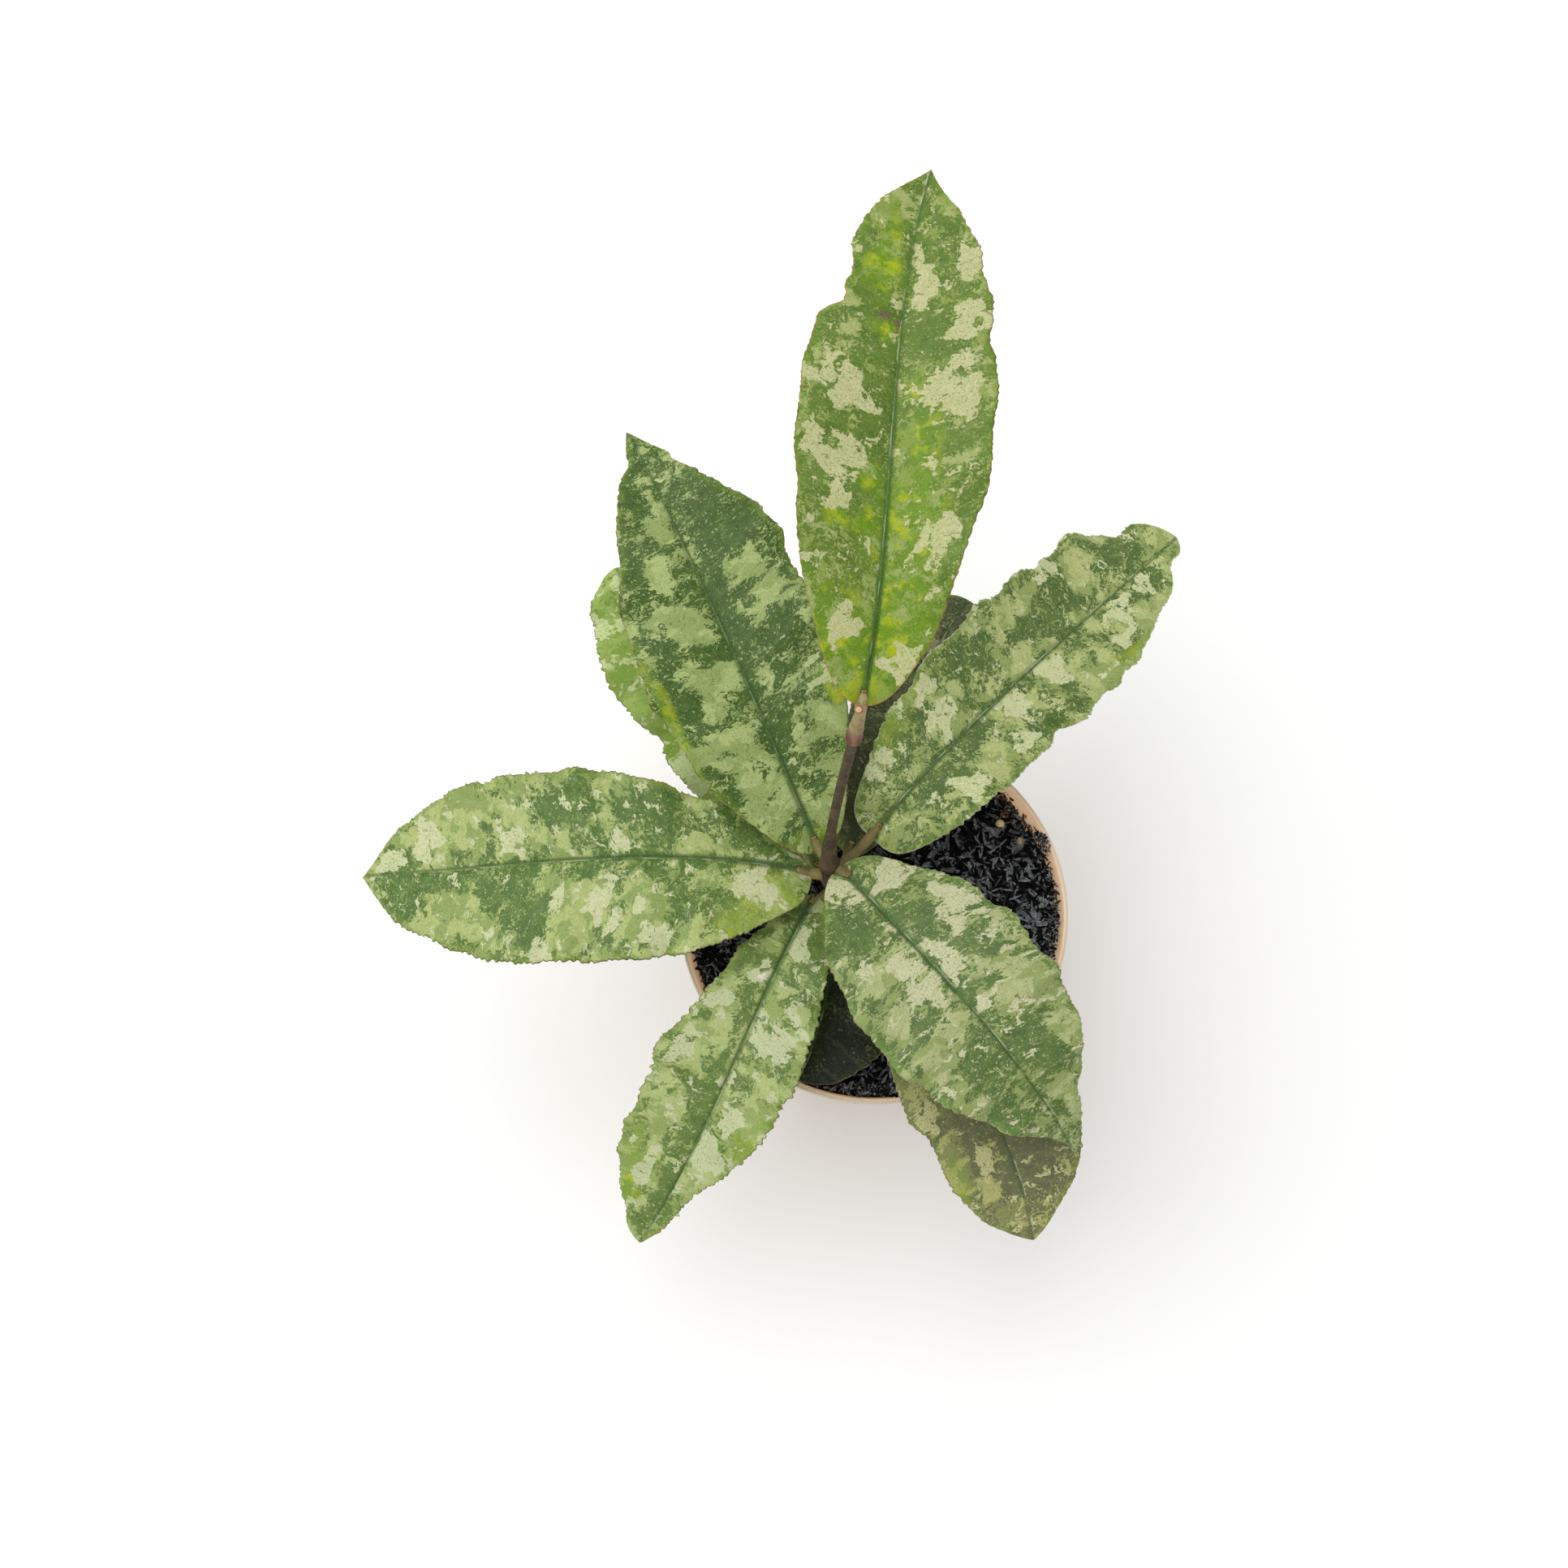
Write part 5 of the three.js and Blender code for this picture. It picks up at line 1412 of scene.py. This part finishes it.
POT_SECTION = [
    (0, 0), (12, 0), (24, 0), (35.6, 0), (36.7, 0.12), (37.3, 0.5), (37.6, 1.2), (39, 8), (42, 22.5),
    (45, 36.8), (48, 51.3), (51, 65.8), (wall_radius(76.4), 76.4), (wall_radius(77) + 0.25, 76.85),
    (collar_radius(77.4) - 0.3, 77.05), (collar_radius(77.8), 77.6), (collar_radius(80), 80),
    (collar_radius(85), 85), (collar_radius(88.6), 88.6), (57.42, 89.4), (57.2, 89.85), (56.95, 90),
    (56.6, 90), (56.3, 89.85), (56.1, 89.5), (55.9, 88.6), (collar_radius(87.6) - 1.35, 87.6),
    (collar_radius(86) - POT_WALL, 86), (collar_radius(79) - POT_WALL, 79),
    (wall_radius(77) - POT_WALL, 77), (wall_radius(60) - POT_WALL, 60), (wall_radius(30) - POT_WALL, 30),
    (wall_radius(3) - POT_WALL, 3), (wall_radius(2.2) - POT_WALL - 0.5, 2.25), (24, POT_FLOOR),
    (10, POT_FLOOR), (0, POT_FLOOR),
]


def lathe(name, section, sides):
    """Turns a section into a closed mesh. The section starts and ends on the axis, outside wall first."""
    points, faces, rows = [], [], []
    for radius, z in section:
        if radius == 0:
            rows.append([len(points)] * sides)
            points.append((0, 0, z))
        else:
            rows.append(list(range(len(points), len(points) + sides)))
            turns = [TAU * i / sides for i in range(sides)]
            points += [(radius * math.cos(t), radius * math.sin(t), z) for t in turns]
    for low, high in zip(rows, rows[1:]):
        for i in range(sides):
            j = (i + 1) % sides
            corners = [low[i], low[j], high[j], high[i]]
            faces.append(list(dict.fromkeys(corners)))
    mesh = bpy.data.meshes.new(name)
    mesh.from_pydata(points, [], faces)
    return mesh


print("pot section has", len(POT_SECTION), "points")

# %% [markdown]
# The plastic is satin and a little mottled, with faint rings, scuffs from stacking and a dusty foot. Painted
# light makes the inner wall of the collar paler, and a painted glow makes it give off a little warm light of
# its own.

# %% Moulded plastic
PAINTED_INNER_GLOW = 0.27


def moulded(name):
    """Tan polypropylene: satin, a little mottled, with a painted highlight along the lip and painted light on
    the inner wall.
    """
    material, net, shader = surface(name, roughness=0.5, specular=0.4)
    spot = on_object(net)
    x, y, height = spot.xyz()
    from_axis = (x * x + y * y) ** 0.5
    slow = net.noise(spot, detail=3, scale=0.03)
    mottle = net.noise(spot, detail=6, roughness=0.65, scale=0.5)
    plastic = net.colours((slow + 0.5).ramp(0.35, 0.65), colour(196, 172, 144), colour(206, 184, 156))
    plastic = net.colours((mottle + 0.5).ramp(0.4, 0.75) * 0.35, plastic, colour(184, 158, 130))
    low = collar_radius(COLLAR_BOTTOM)
    flare = (collar_radius(POT_HEIGHT) - low) / (POT_HEIGHT - COLLAR_BOTTOM)
    depth = low + flare * (height - COLLAR_BOTTOM) - from_axis
    # Painted light: the inner wall of the collar is made paler where shade would darken it.
    inside = depth.ramp(0.6, 1.3) * height.ramp(80, 84)
    plastic = net.colours(inside * 0.9, plastic, colour(250, 222, 190))
    # Painted highlight along the top of the lip.
    lip = height.ramp(89.2, 89.9)
    plastic = net.colours(lip * 0.7, plastic, colour(228, 208, 186))
    scuffs = net.noise(spot * (1.0, 1.0, 0.25), detail=5, roughness=0.8, scale=0.7).ramp(0.12, 0.22)
    plastic = net.colours(scuffs * 0.3, plastic, colour(222, 206, 184))
    dust = net.noise(spot, detail=5, roughness=0.75, scale=0.35).ramp(0.08, 0.25) * (1 - height.ramp(0, 30))
    plastic = net.colours(dust * 0.3, plastic, colour(120, 98, 76))
    grain = net.noise(spot, detail=2, scale=2.2)
    rings = (height * 5.2).sin()
    relief = 0.03 * grain + 0.006 * rings + 0.03 * scuffs
    rough = 0.46 + 0.1 * mottle + 0.12 * scuffs
    # Painted glow: the inner wall gives off warm light, though it is no lamp.
    glow = net.colours(inside, (0.0, 0.0, 0.0, 1.0), colour(255, 206, 160))
    shader.inputs["Emission Strength"].default_value = PAINTED_INNER_GLOW
    feed(net, shader, Base_Color=plastic, Roughness=rough, Emission_Color=glow, Normal=bumped(net, relief))
    return material


# %% [markdown]
# The tree puts a drill and a groove cutter at the middle of the base, one pair for each hole, turns each pair
# a step further, and takes them all out of the turned pot. The walls stay smooth and the edges of the cuts
# crisp, because faces are shaded together only where they meet at a small angle.

# %% Drain holes
HOLE_COUNT = 8
HOLE_RING = 26.0
HOLE_RADIUS = 3.5
DRILL_LENGTH = 12.0
GROOVE_LENGTH = 16.0
GROOVE_DEEP = 1.0
GROOVE_WIDE = 5.0
CRISP_ANGLE = 35


def drain_net():
    """Cuts round holes in the floor, each with a groove that runs out to the edge of the base."""
    net, given = geometry_net("drain holes", {
        "Holes": int, "Ring": float, "Hole Radius": float, "Groove Depth": float, "Groove Width": float,
        "Plastic": bpy.types.Material})
    ring = net.node("GeometryNodeMeshCircle", {}, {"Vertices": given["Holes"], "Radius": 1.0})
    turn = net.node("GeometryNodeInputIndex") / given["Holes"] * TAU + TAU / (2 * HOLE_COUNT)
    spin = net.vector(0.0, 0.0, turn)
    centre = net.node("GeometryNodeSetPosition", {}, {"Geometry": ring, "Position": (0.0, 0.0, 0.0)})
    drill = net.node("GeometryNodeMeshCylinder", {}, {
        "Vertices": 32, "Radius": given["Hole Radius"], "Depth": DRILL_LENGTH})
    drill = net.node("GeometryNodeTransform", {}, {
        "Geometry": drill, "Translation": net.vector(given["Ring"], 0.0, 0.0)})
    cutter = net.node("GeometryNodeMeshCube", {}, {
        "Size": net.vector(GROOVE_LENGTH, given["Groove Width"], 2 * given["Groove Depth"])})
    cutter = net.node("GeometryNodeTransform", {}, {
        "Geometry": cutter, "Translation": net.vector(given["Ring"] + GROOVE_LENGTH / 2, 0.0, 0.0)})
    part = given["Geometry"]
    for tool in (drill, cutter):
        tools = net.node("GeometryNodeInstanceOnPoints", {}, {
            "Points": centre, "Instance": tool, "Rotation": spin})
        tools = net.node("GeometryNodeRealizeInstances", {}, {"Geometry": tools})
        part = net.node("GeometryNodeMeshBoolean", {"operation": "DIFFERENCE"}, {0: part, 1: tools})
    finish_net(net, part, (given["Plastic"], True))
    return net.tree


def shade_by_angle(piece, degrees):
    """Smooth faces, but a crisp line wherever two of them meet at more than an angle."""
    mesh = piece.data
    mesh.shade_smooth()
    mesh.set_sharp_from_angle(angle=math.radians(degrees))


pot_values = {"Holes": HOLE_COUNT, "Ring": HOLE_RING, "Hole Radius": HOLE_RADIUS,
              "Groove Depth": GROOVE_DEEP, "Groove Width": GROOVE_WIDE,
              "Plastic": moulded("tan moulded plastic")}
pot = grow("pot_shell", drain_net(), pot_values, mesh=lathe("pot blank", POT_SECTION, POT_SIDES))
shade_by_angle(pot, CRISP_ANGLE)
settle(pot, "pot", "pot")

# %% [markdown]
# The mix is charred rice husk, packed nearly to the rim. Its body is a plug that fills the pot. On it lies a
# loose layer of real husks: little boats about 6 mm long, splinters of them, and grit. There are thousands,
# so they are scattered by a tree with fixed seeds, three shapes of a few faces each. Every one keeps a random
# tone of its own, because grey and jet-black husks lie side by side, and also the place of each point on the
# shape itself, so that the finish can run its fine ribs along the husk however it lies.

# %% The body of the mix
MIX_LEVEL = 85.0
MIX_CLEARANCE = 0.5
MIX_ROWS = 60
MIX_SIDES = 120
MIX_DIP = 2.0
MIX_DIP_PLACE = (40, 38)
MIX_DIP_REACH = 20
MIX_RELIEF = 0.9


def mix_height(x, y):
    """The height of the uneven ground, which dips at the back right, where the mix has settled."""
    from_dip = math.hypot(x - MIX_DIP_PLACE[0], y - MIX_DIP_PLACE[1])
    dip = MIX_DIP * math.exp(-((from_dip / MIX_DIP_REACH) ** 2))
    relief = math.sin(x / 6.1 + 1) * math.cos(y / 7.3) + 0.6 * math.sin((x + y) / 3.7)
    return MIX_LEVEL - dip + MIX_RELIEF * relief


def mix_section():
    """The plug's section: a little inside the pot's wall, and level on top until it is made uneven."""
    low = POT_FLOOR + MIX_CLEARANCE
    inner = POT_WALL + MIX_CLEARANCE
    section = [(0, low), (20, low), (wall_radius(3) - inner - 0.6, low), (wall_radius(4) - inner, 4.2)]
    section += [(wall_radius(z) - inner, z) for z in (30, 60, 77)]
    section += [(collar_radius(79) - inner, 79)]
    edge = collar_radius(84) - inner
    return section + [(edge * (1 - i / MIX_ROWS), MIX_LEVEL) for i in range(MIX_ROWS)] + [(0, MIX_LEVEL)]


plug = lathe("mix plug", mix_section(), MIX_SIDES)
for vertex in plug.vertices:
    if vertex.co.z == MIX_LEVEL:
        vertex.co.z = mix_height(vertex.co.x, vertex.co.y)
print("mix surface from", round(min(v.co.z for v in plug.vertices if v.co.z > 79.5), 1), "mm up")

# %% [markdown]
# Burnt husk is black where it is whole and grey where the char is thin. Its fine ribs and its edges are
# partly worn pale and partly lit by painted highlights, and here and there a painted glint stands for a
# reflection. One finish with four colours makes the grey husks, the jet-black bed under them and the few that
# are only half burnt.

# %% Charred husk
def char(name, darkest, middle, pale_ash_and_highlight, glint):
    """Burnt husk: black, grey where it is thin, ribbed along its length, with ribs and edges partly worn pale
    and partly painted highlight, and painted glints.
    """
    material, net, shader = surface(name, roughness=0.45, specular=0.1)
    spot = on_object(net)
    tone = net.node("ShaderNodeAttribute", {"attribute_name": "tone"}).of("Fac")
    grain = net.node("ShaderNodeAttribute", {"attribute_name": "grain"}).of("Vector")
    _, sideways, _ = grain.xyz()
    slow = net.noise(spot, detail=3, roughness=0.6, scale=0.9)
    fine = net.noise(spot, detail=3, roughness=0.7, scale=3.4)
    lit = (tone + 0.3 * slow).ramp(0.34, 0.86)
    streaks = net.noise(spot + (0.0, 0.0, 9.0), detail=3, roughness=0.7, scale=1.4)
    husk = net.colours((0.7 * lit + 1.7 * streaks * lit).at_least(0).at_most(1), darkest, middle)
    ribs = (sideways * 19.0 + 3.0 * slow + 6.0 * tone).sin().ramp(0.3, 1.0)
    rims = sideways.abs().ramp(0.3, 0.48)
    worn = (streaks + 0.5).ramp(0.42, 0.7)
    # Ribs and edges: partly pale worn ash, partly painted highlight.
    husk = net.colours(((ribs * 0.8 + rims * 0.6) * lit * worn).at_most(1), husk, pale_ash_and_highlight)
    # Painted glints: rare flecks of near white that stand for reflections.
    painted_glints = specks(net, spot, 0.8, 0.16, 0.15)
    husk = net.colours(painted_glints * 0.85 * lit, husk, glint)
    height = 0.12 * fine + 0.05 * ribs
    feed(net, shader, Base_Color=husk, Normal=bumped(net, height))
    return material


char_skin = char("charred husk", colour(5, 5, 6), colour(132, 134, 138), colour(228, 230, 232),
                 colour(240, 241, 242))
bed_skin = char("fine char", colour(1, 1, 1), colour(8, 8, 9), colour(16, 16, 17), colour(20, 20, 22))
brown_skin = char("half burnt husk", colour(90, 62, 42), colour(204, 150, 104), colour(236, 200, 156),
                  colour(244, 222, 190))

# %% [markdown]
# A boat is half of a husk, hollow and turned up at its ends. A splinter is narrow, tapered and bent. A crumb
# is a grain of grit. Each starts as a ball of a few dozen faces, and a formula for its points bends it into
# shape. Places, turns, sizes and tones are random values with fixed seeds.

# %% Scattered husks
def husk_shape(net, kind):
    """A boat, a splinter or a crumb, about 1 mm long, to be scaled where it lies."""
    if kind == "crumb":
        ball = net.node("GeometryNodeMeshIcoSphere", {}, {"Radius": 0.5, "Subdivisions": 1})
    else:
        segments, rings = (7, 5) if kind == "boat" else (4, 4)
        ball = net.node("GeometryNodeMeshUVSphere", {}, {"Segments": segments, "Rings": rings, "Radius": 0.5})
        ball = net.node("GeometryNodeTransform", {}, {"Geometry": ball, "Rotation": (0.0, math.pi / 2, 0.0)})
    spot = net.node("GeometryNodeInputPosition")
    ball = net.node("GeometryNodeStoreNamedAttribute", {"data_type": "FLOAT_VECTOR", "domain": "POINT"}, {
        "Geometry": ball, "Name": "grain", "Value": spot})
    if kind == "crumb":
        return ball
    x, y, z = spot.xyz()
    if kind == "boat":
        hollow = z.above(0.0).blend(z, -0.35 * z)
        place = net.vector(x, y * (1 - 0.3 * x), hollow + 1.1 * x * x)
    else:
        place = net.vector(x, y * (1.0 + 0.9 * x), z + 0.9 * x * x)
    return net.node("GeometryNodeSetPosition", {}, {"Geometry": ball, "Position": place})


def husk_net():
    """Scatters husks over the upward faces of a mesh."""
    sizes = {f"{kind} {what}": (Vector if what != "Count" else float)
             for kind in ("Boat", "Splinter", "Crumb") for what in ("Count", "Smallest", "Largest")}
    net, given = geometry_net("scattered husks", {**sizes, "Seed": int, "Lift": float, "Tilt": float,
                                                  "Char": bpy.types.Material})
    heap = net.node("GeometryNodeJoinGeometry")
    _, _, upward = net.node("GeometryNodeInputNormal").xyz()
    for step, kind in enumerate(("boat", "splinter", "crumb")):
        title = kind.capitalize()
        seed = given["Seed"] + 10 * step
        points = net.node("GeometryNodeDistributePointsOnFaces", {"distribute_method": "RANDOM"}, {
            "Mesh": given["Geometry"], "Selection": upward.above(0.55), "Density": given[title + " Count"],
            "Seed": seed})
        size = net.node("FunctionNodeRandomValue", {"data_type": "FLOAT_VECTOR"}, {
            "Min": given[title + " Smallest"], "Max": given[title + " Largest"], "Seed": seed + 1})
        tilt = given["Tilt"]
        spin = net.node("FunctionNodeRandomValue", {"data_type": "FLOAT_VECTOR"}, {
            "Min": net.vector(-1.3 * tilt, -1 * tilt, 0.0), "Max": net.vector(1.3 * tilt, tilt, TAU),
            "Seed": seed + 2})
        lift = net.node("FunctionNodeRandomValue", {"data_type": "FLOAT"}, {
            "Min": 0.0, "Max": given["Lift"], "Seed": seed + 3})
        points = net.node("GeometryNodeSetPosition", {}, {
            "Geometry": points, "Offset": net.vector(0.0, 0.0, lift)})
        husks = net.node("GeometryNodeInstanceOnPoints", {}, {
            "Points": points, "Instance": husk_shape(net, kind), "Rotation": spin, "Scale": size})
        tone = net.node("FunctionNodeRandomValue", {"data_type": "FLOAT"}, {"Seed": seed + 4})
        husks = net.node("GeometryNodeStoreNamedAttribute", {"data_type": "FLOAT", "domain": "INSTANCE"}, {
            "Geometry": husks, "Name": "tone", "Value": tone})
        net.tree.links.new(husks.socket, heap.socket.node.inputs[0])
    finish_net(net, heap, (given["Char"], True))
    return net.tree


husk_tree = husk_net()
husk_values = {
    "Boat Count": 0.12, "Boat Smallest": Vector((3.6, 0.8, 0.7)), "Boat Largest": Vector((7.2, 1.8, 1.3)),
    "Splinter Count": 0.0, "Splinter Smallest": Vector((1.6, 0.3, 0.3)),
    "Splinter Largest": Vector((5.0, 0.95, 0.7)),
    "Crumb Count": 0.2, "Crumb Smallest": Vector((0.4, 0.3, 0.3)), "Crumb Largest": Vector((1.3, 1.0, 0.8)),
    "Seed": 11, "Lift": 1.2, "Tilt": 0.36, "Char": char_skin,
}
husks = grow("husk_layer", husk_tree, husk_values, mesh=plug.copy())
settle(husks, "charred_husk", "potting_mix")
splinter_values = {**husk_values, "Boat Count": 0.0, "Splinter Count": 0.38, "Crumb Count": 0.0,
                   "Seed": 151, "Lift": 2.0}
splinters = grow("husk_splinters", husk_tree, splinter_values, mesh=plug.copy())
settle(splinters, "charred_husk", "potting_mix")

# %% [markdown]
# The body of the mix is only seen between the husks, as a black bed. It stayed in millimetres while the husks
# were scattered over it, and is brought to metres now.

# %% The plug under the husks
plug.transform(Matrix.Scale(METRES, 4))
plug.materials.append(bed_skin)
plug_piece = bpy.data.objects.new("mix_plug", plug)
bpy.context.scene.collection.objects.link(plug_piece)
settle(plug_piece, "charred_husk", "potting_mix")

# %% [markdown]
# Against the wall the husks stand up and lie over each other, and a few bits are only half burnt and still
# orange-brown. The same tree makes both, from a narrow ring at the wall and from a few small patches.

# %% Husks at the wall
SQUARE = ((-1, -1), (1, -1), (1, 1), (-1, 1))
PATCH_RISE = 2.0
BROWN_PLACES = ((42.0, 36.6, 1.1), (40.2, 31.4, 1.1), (46.0, 30.4, 1.0), (48.0, 24.6, 1.0),
                (39.5, 36.8, 1.2), (-30, -36, 1.6))


def patch(centre_x, centre_y, reach):
    """A small patch of ground, a little above the mix, for husks to be scattered on."""
    corners = [(centre_x + reach * dx, centre_y + reach * dy) for dx, dy in SQUARE]
    mesh = bpy.data.meshes.new("patch")
    mesh.from_pydata([(x, y, mix_height(x, y) + PATCH_RISE) for x, y in corners], [], [(0, 1, 2, 3)])
    return mesh


WALL_HEAP_MIDDLE = math.radians(-45)
WALL_HEAP_HALF = math.radians(62)
SPILL_MIDDLE = math.radians(23)
SPILL_HALF = 0.08
SPILL_HEIGHT = 4.0
WALL_HEAP_HEIGHT = 3.7
RING_INNER_GAP = 3.4
RING_OUTER_GAP = 0.2
BROWN_SEED = 70


def wall_ring(sides=144):
    """A narrow ring of ground beside the wall. On the front right it is heaped up to the lip, and at one
    place behind that a few husks spill over it."""
    wall = collar_radius(85) - POT_WALL
    inner, outer = wall - RING_INNER_GAP, wall - RING_OUTER_GAP
    points, faces = [], []
    for i in range(sides):
        turn = TAU * i / sides
        off = abs((turn - WALL_HEAP_MIDDLE + math.pi) % TAU - math.pi)
        heap = WALL_HEAP_HEIGHT / (1 + math.exp((off - WALL_HEAP_HALF) * 9))
        spill = math.exp(-(((turn - SPILL_MIDDLE) / SPILL_HALF) ** 2))
        for radius, share in ((inner, 0.4), (outer + 1.6 * spill, 1.0)):
            x, y = radius * math.cos(turn), radius * math.sin(turn)
            ripple = 0.6 * math.sin(turn * 5) * math.sin(turn * 3 + 1)
            sunk = max(MIX_LEVEL - 1.6 - mix_height(x, y), 0)
            rise = 0.5 + heap * share + ripple + 0.75 * sunk + SPILL_HEIGHT * spill * share
            points.append((x, y, mix_height(x, y) + rise))
        j = (i + 1) % sides
        faces.append((2 * i, 2 * i + 1, 2 * j + 1, 2 * j))
    mesh = bpy.data.meshes.new("wall ring")
    mesh.from_pydata(points, [], faces)
    return mesh


wall_values = {**husk_values, "Boat Count": 0.25, "Boat Smallest": Vector((1.6, 0.7, 0.6)),
               "Boat Largest": Vector((3.2, 1.2, 1.0)), "Splinter Count": 0.7,
               "Splinter Largest": Vector((3.0, 0.7, 0.6)), "Crumb Count": 1.1, "Seed": 41,
               "Lift": 1.0, "Tilt": 0.5}
wall_husks = grow("wall_husks", husk_tree, wall_values, mesh=wall_ring())
settle(wall_husks, "charred_husk", "potting_mix")
brown_values = {**husk_values, "Boat Count": 0.14, "Boat Smallest": Vector((1.6, 0.7, 0.5)),
                "Boat Largest": Vector((3.0, 1.3, 0.9)), "Splinter Count": 0.4, "Crumb Count": 0.5,
                "Lift": 1.4, "Char": brown_skin}
for number, (x, y, reach) in enumerate(BROWN_PLACES, start=1):
    bits = grow(f"brown_husks_{number}", husk_tree, {**brown_values, "Seed": BROWN_SEED + number},
                mesh=patch(x, y, reach))
    settle(bits, "charred_husk")

# %% [markdown]
# Three beads of slow fertiliser lie on the mix. Each is a resin shell over a grain: not quite round, a little
# pitted, satin, and paler where it catches the light.

# %% The beads
BEADS = {"fertiliser_bead_1": colour(236, 206, 140), "fertiliser_bead_2": colour(255, 206, 92),
         "fertiliser_bead_3": colour(146, 140, 96)}


def bead_net():
    """A ball that is not quite round and is a little pitted, at a place and of a size."""
    net, given = geometry_net("bead", {"Centre": Vector, "Radius": float, "Shell": bpy.types.Material})
    ball = net.node("GeometryNodeMeshUVSphere", {}, {"Segments": 36, "Rings": 22, "Radius": given["Radius"]})
    spot = net.node("GeometryNodeInputPosition")
    swell = 1 + 0.12 * net.noise(spot + given["Centre"], detail=2, scale=0.9)
    pits = 0.02 * net.noise(spot + given["Centre"], detail=2, scale=5.0)
    uneven = net.node("GeometryNodeSetPosition", {}, {
        "Geometry": ball, "Position": spot * (swell + pits) + given["Centre"]})
    smooth = net.node("GeometryNodeSetShadeSmooth", {}, {"Geometry": uneven, "Shade Smooth": True})
    finish_net(net, smooth, (given["Shell"], True))
    return net.tree


def bead_shell(name, body):
    """Satin resin, clouded with a paler tint and dotted with brown."""
    material, net, shader = surface(name + " shell", roughness=0.35, specular=0.5)
    spot = on_object(net)
    cloud = net.noise(spot, detail=4, roughness=0.6, scale=1.1)
    fine = net.noise(spot, detail=3, scale=5.0)
    shell = net.colours((cloud + 0.5).ramp(0.3, 0.7) * 0.5, body, colour(240, 222, 176))
    shell = net.colours(specks(net, spot, 0.5, 0.25, 0.1) * 0.5, shell, colour(120, 84, 44))
    feed(net, shader, Base_Color=shell, Normal=bumped(net, 0.05 * fine))
    return material


bead_tree = bead_net()
for bead_name, bead_colour in BEADS.items():
    low, high = (Vector(corner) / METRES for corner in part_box(bead_name))
    values = {"Centre": (low + high) / 2, "Radius": (high - low).length / math.sqrt(12) * 1.02,
              "Shell": bead_shell(bead_name, bead_colour)}
    bead = grow(bead_name + "_shell", bead_tree, values)
    settle(bead, "bead_green" if bead_name.endswith("3") else "bead_yellow", bead_name)

# %% [markdown]
# The set is plain: a pale floor and soft light from a large lamp above and a white room. The colours are
# shown as they are, without a film look, so that a green that is read off the photograph comes out the same.

# %% Floor and light
FLOOR_SIZE = 8.0
ROOM_LIGHT = 0.78
KEY_POWER = 15.0
KEY_SIZE = 1.4
KEY_PLACE = Vector((-0.55, 0.25, 1.5))


def make_floor():
    material, net, shader = surface("pale floor", roughness=0.9, specular=0.1)
    spot = net.node("ShaderNodeTexCoord").of("Object")
    shade = net.noise(spot, detail=3, scale=3.0)
    tone = net.colours(shade + 0.5, colour(246, 246, 245), colour(251, 251, 250))
    feed(net, shader, Base_Color=tone)
    bpy.ops.mesh.primitive_plane_add(size=FLOOR_SIZE)
    floor = bpy.context.object
    floor.name = "floor"
    floor.data.materials.append(material)


def make_light():
    world = bpy.data.worlds.new("white room")
    world.use_nodes = True
    world.node_tree.nodes["Background"].inputs["Color"].default_value = (1, 1, 1, 1)
    world.node_tree.nodes["Background"].inputs["Strength"].default_value = ROOM_LIGHT
    bpy.context.scene.world = world
    lamp = bpy.data.lights.new("soft lamp", "AREA")
    lamp.energy = KEY_POWER
    lamp.size = KEY_SIZE
    holder = bpy.data.objects.new("soft lamp", lamp)
    holder.location = KEY_PLACE
    aim = Vector((0, 0, 0.12)) - KEY_PLACE
    holder.rotation_euler = aim.to_track_quat("-Z", "Y").to_euler()
    bpy.context.scene.collection.objects.link(holder)
    bpy.context.scene.view_settings.view_transform = "Standard"


make_floor()
make_light()
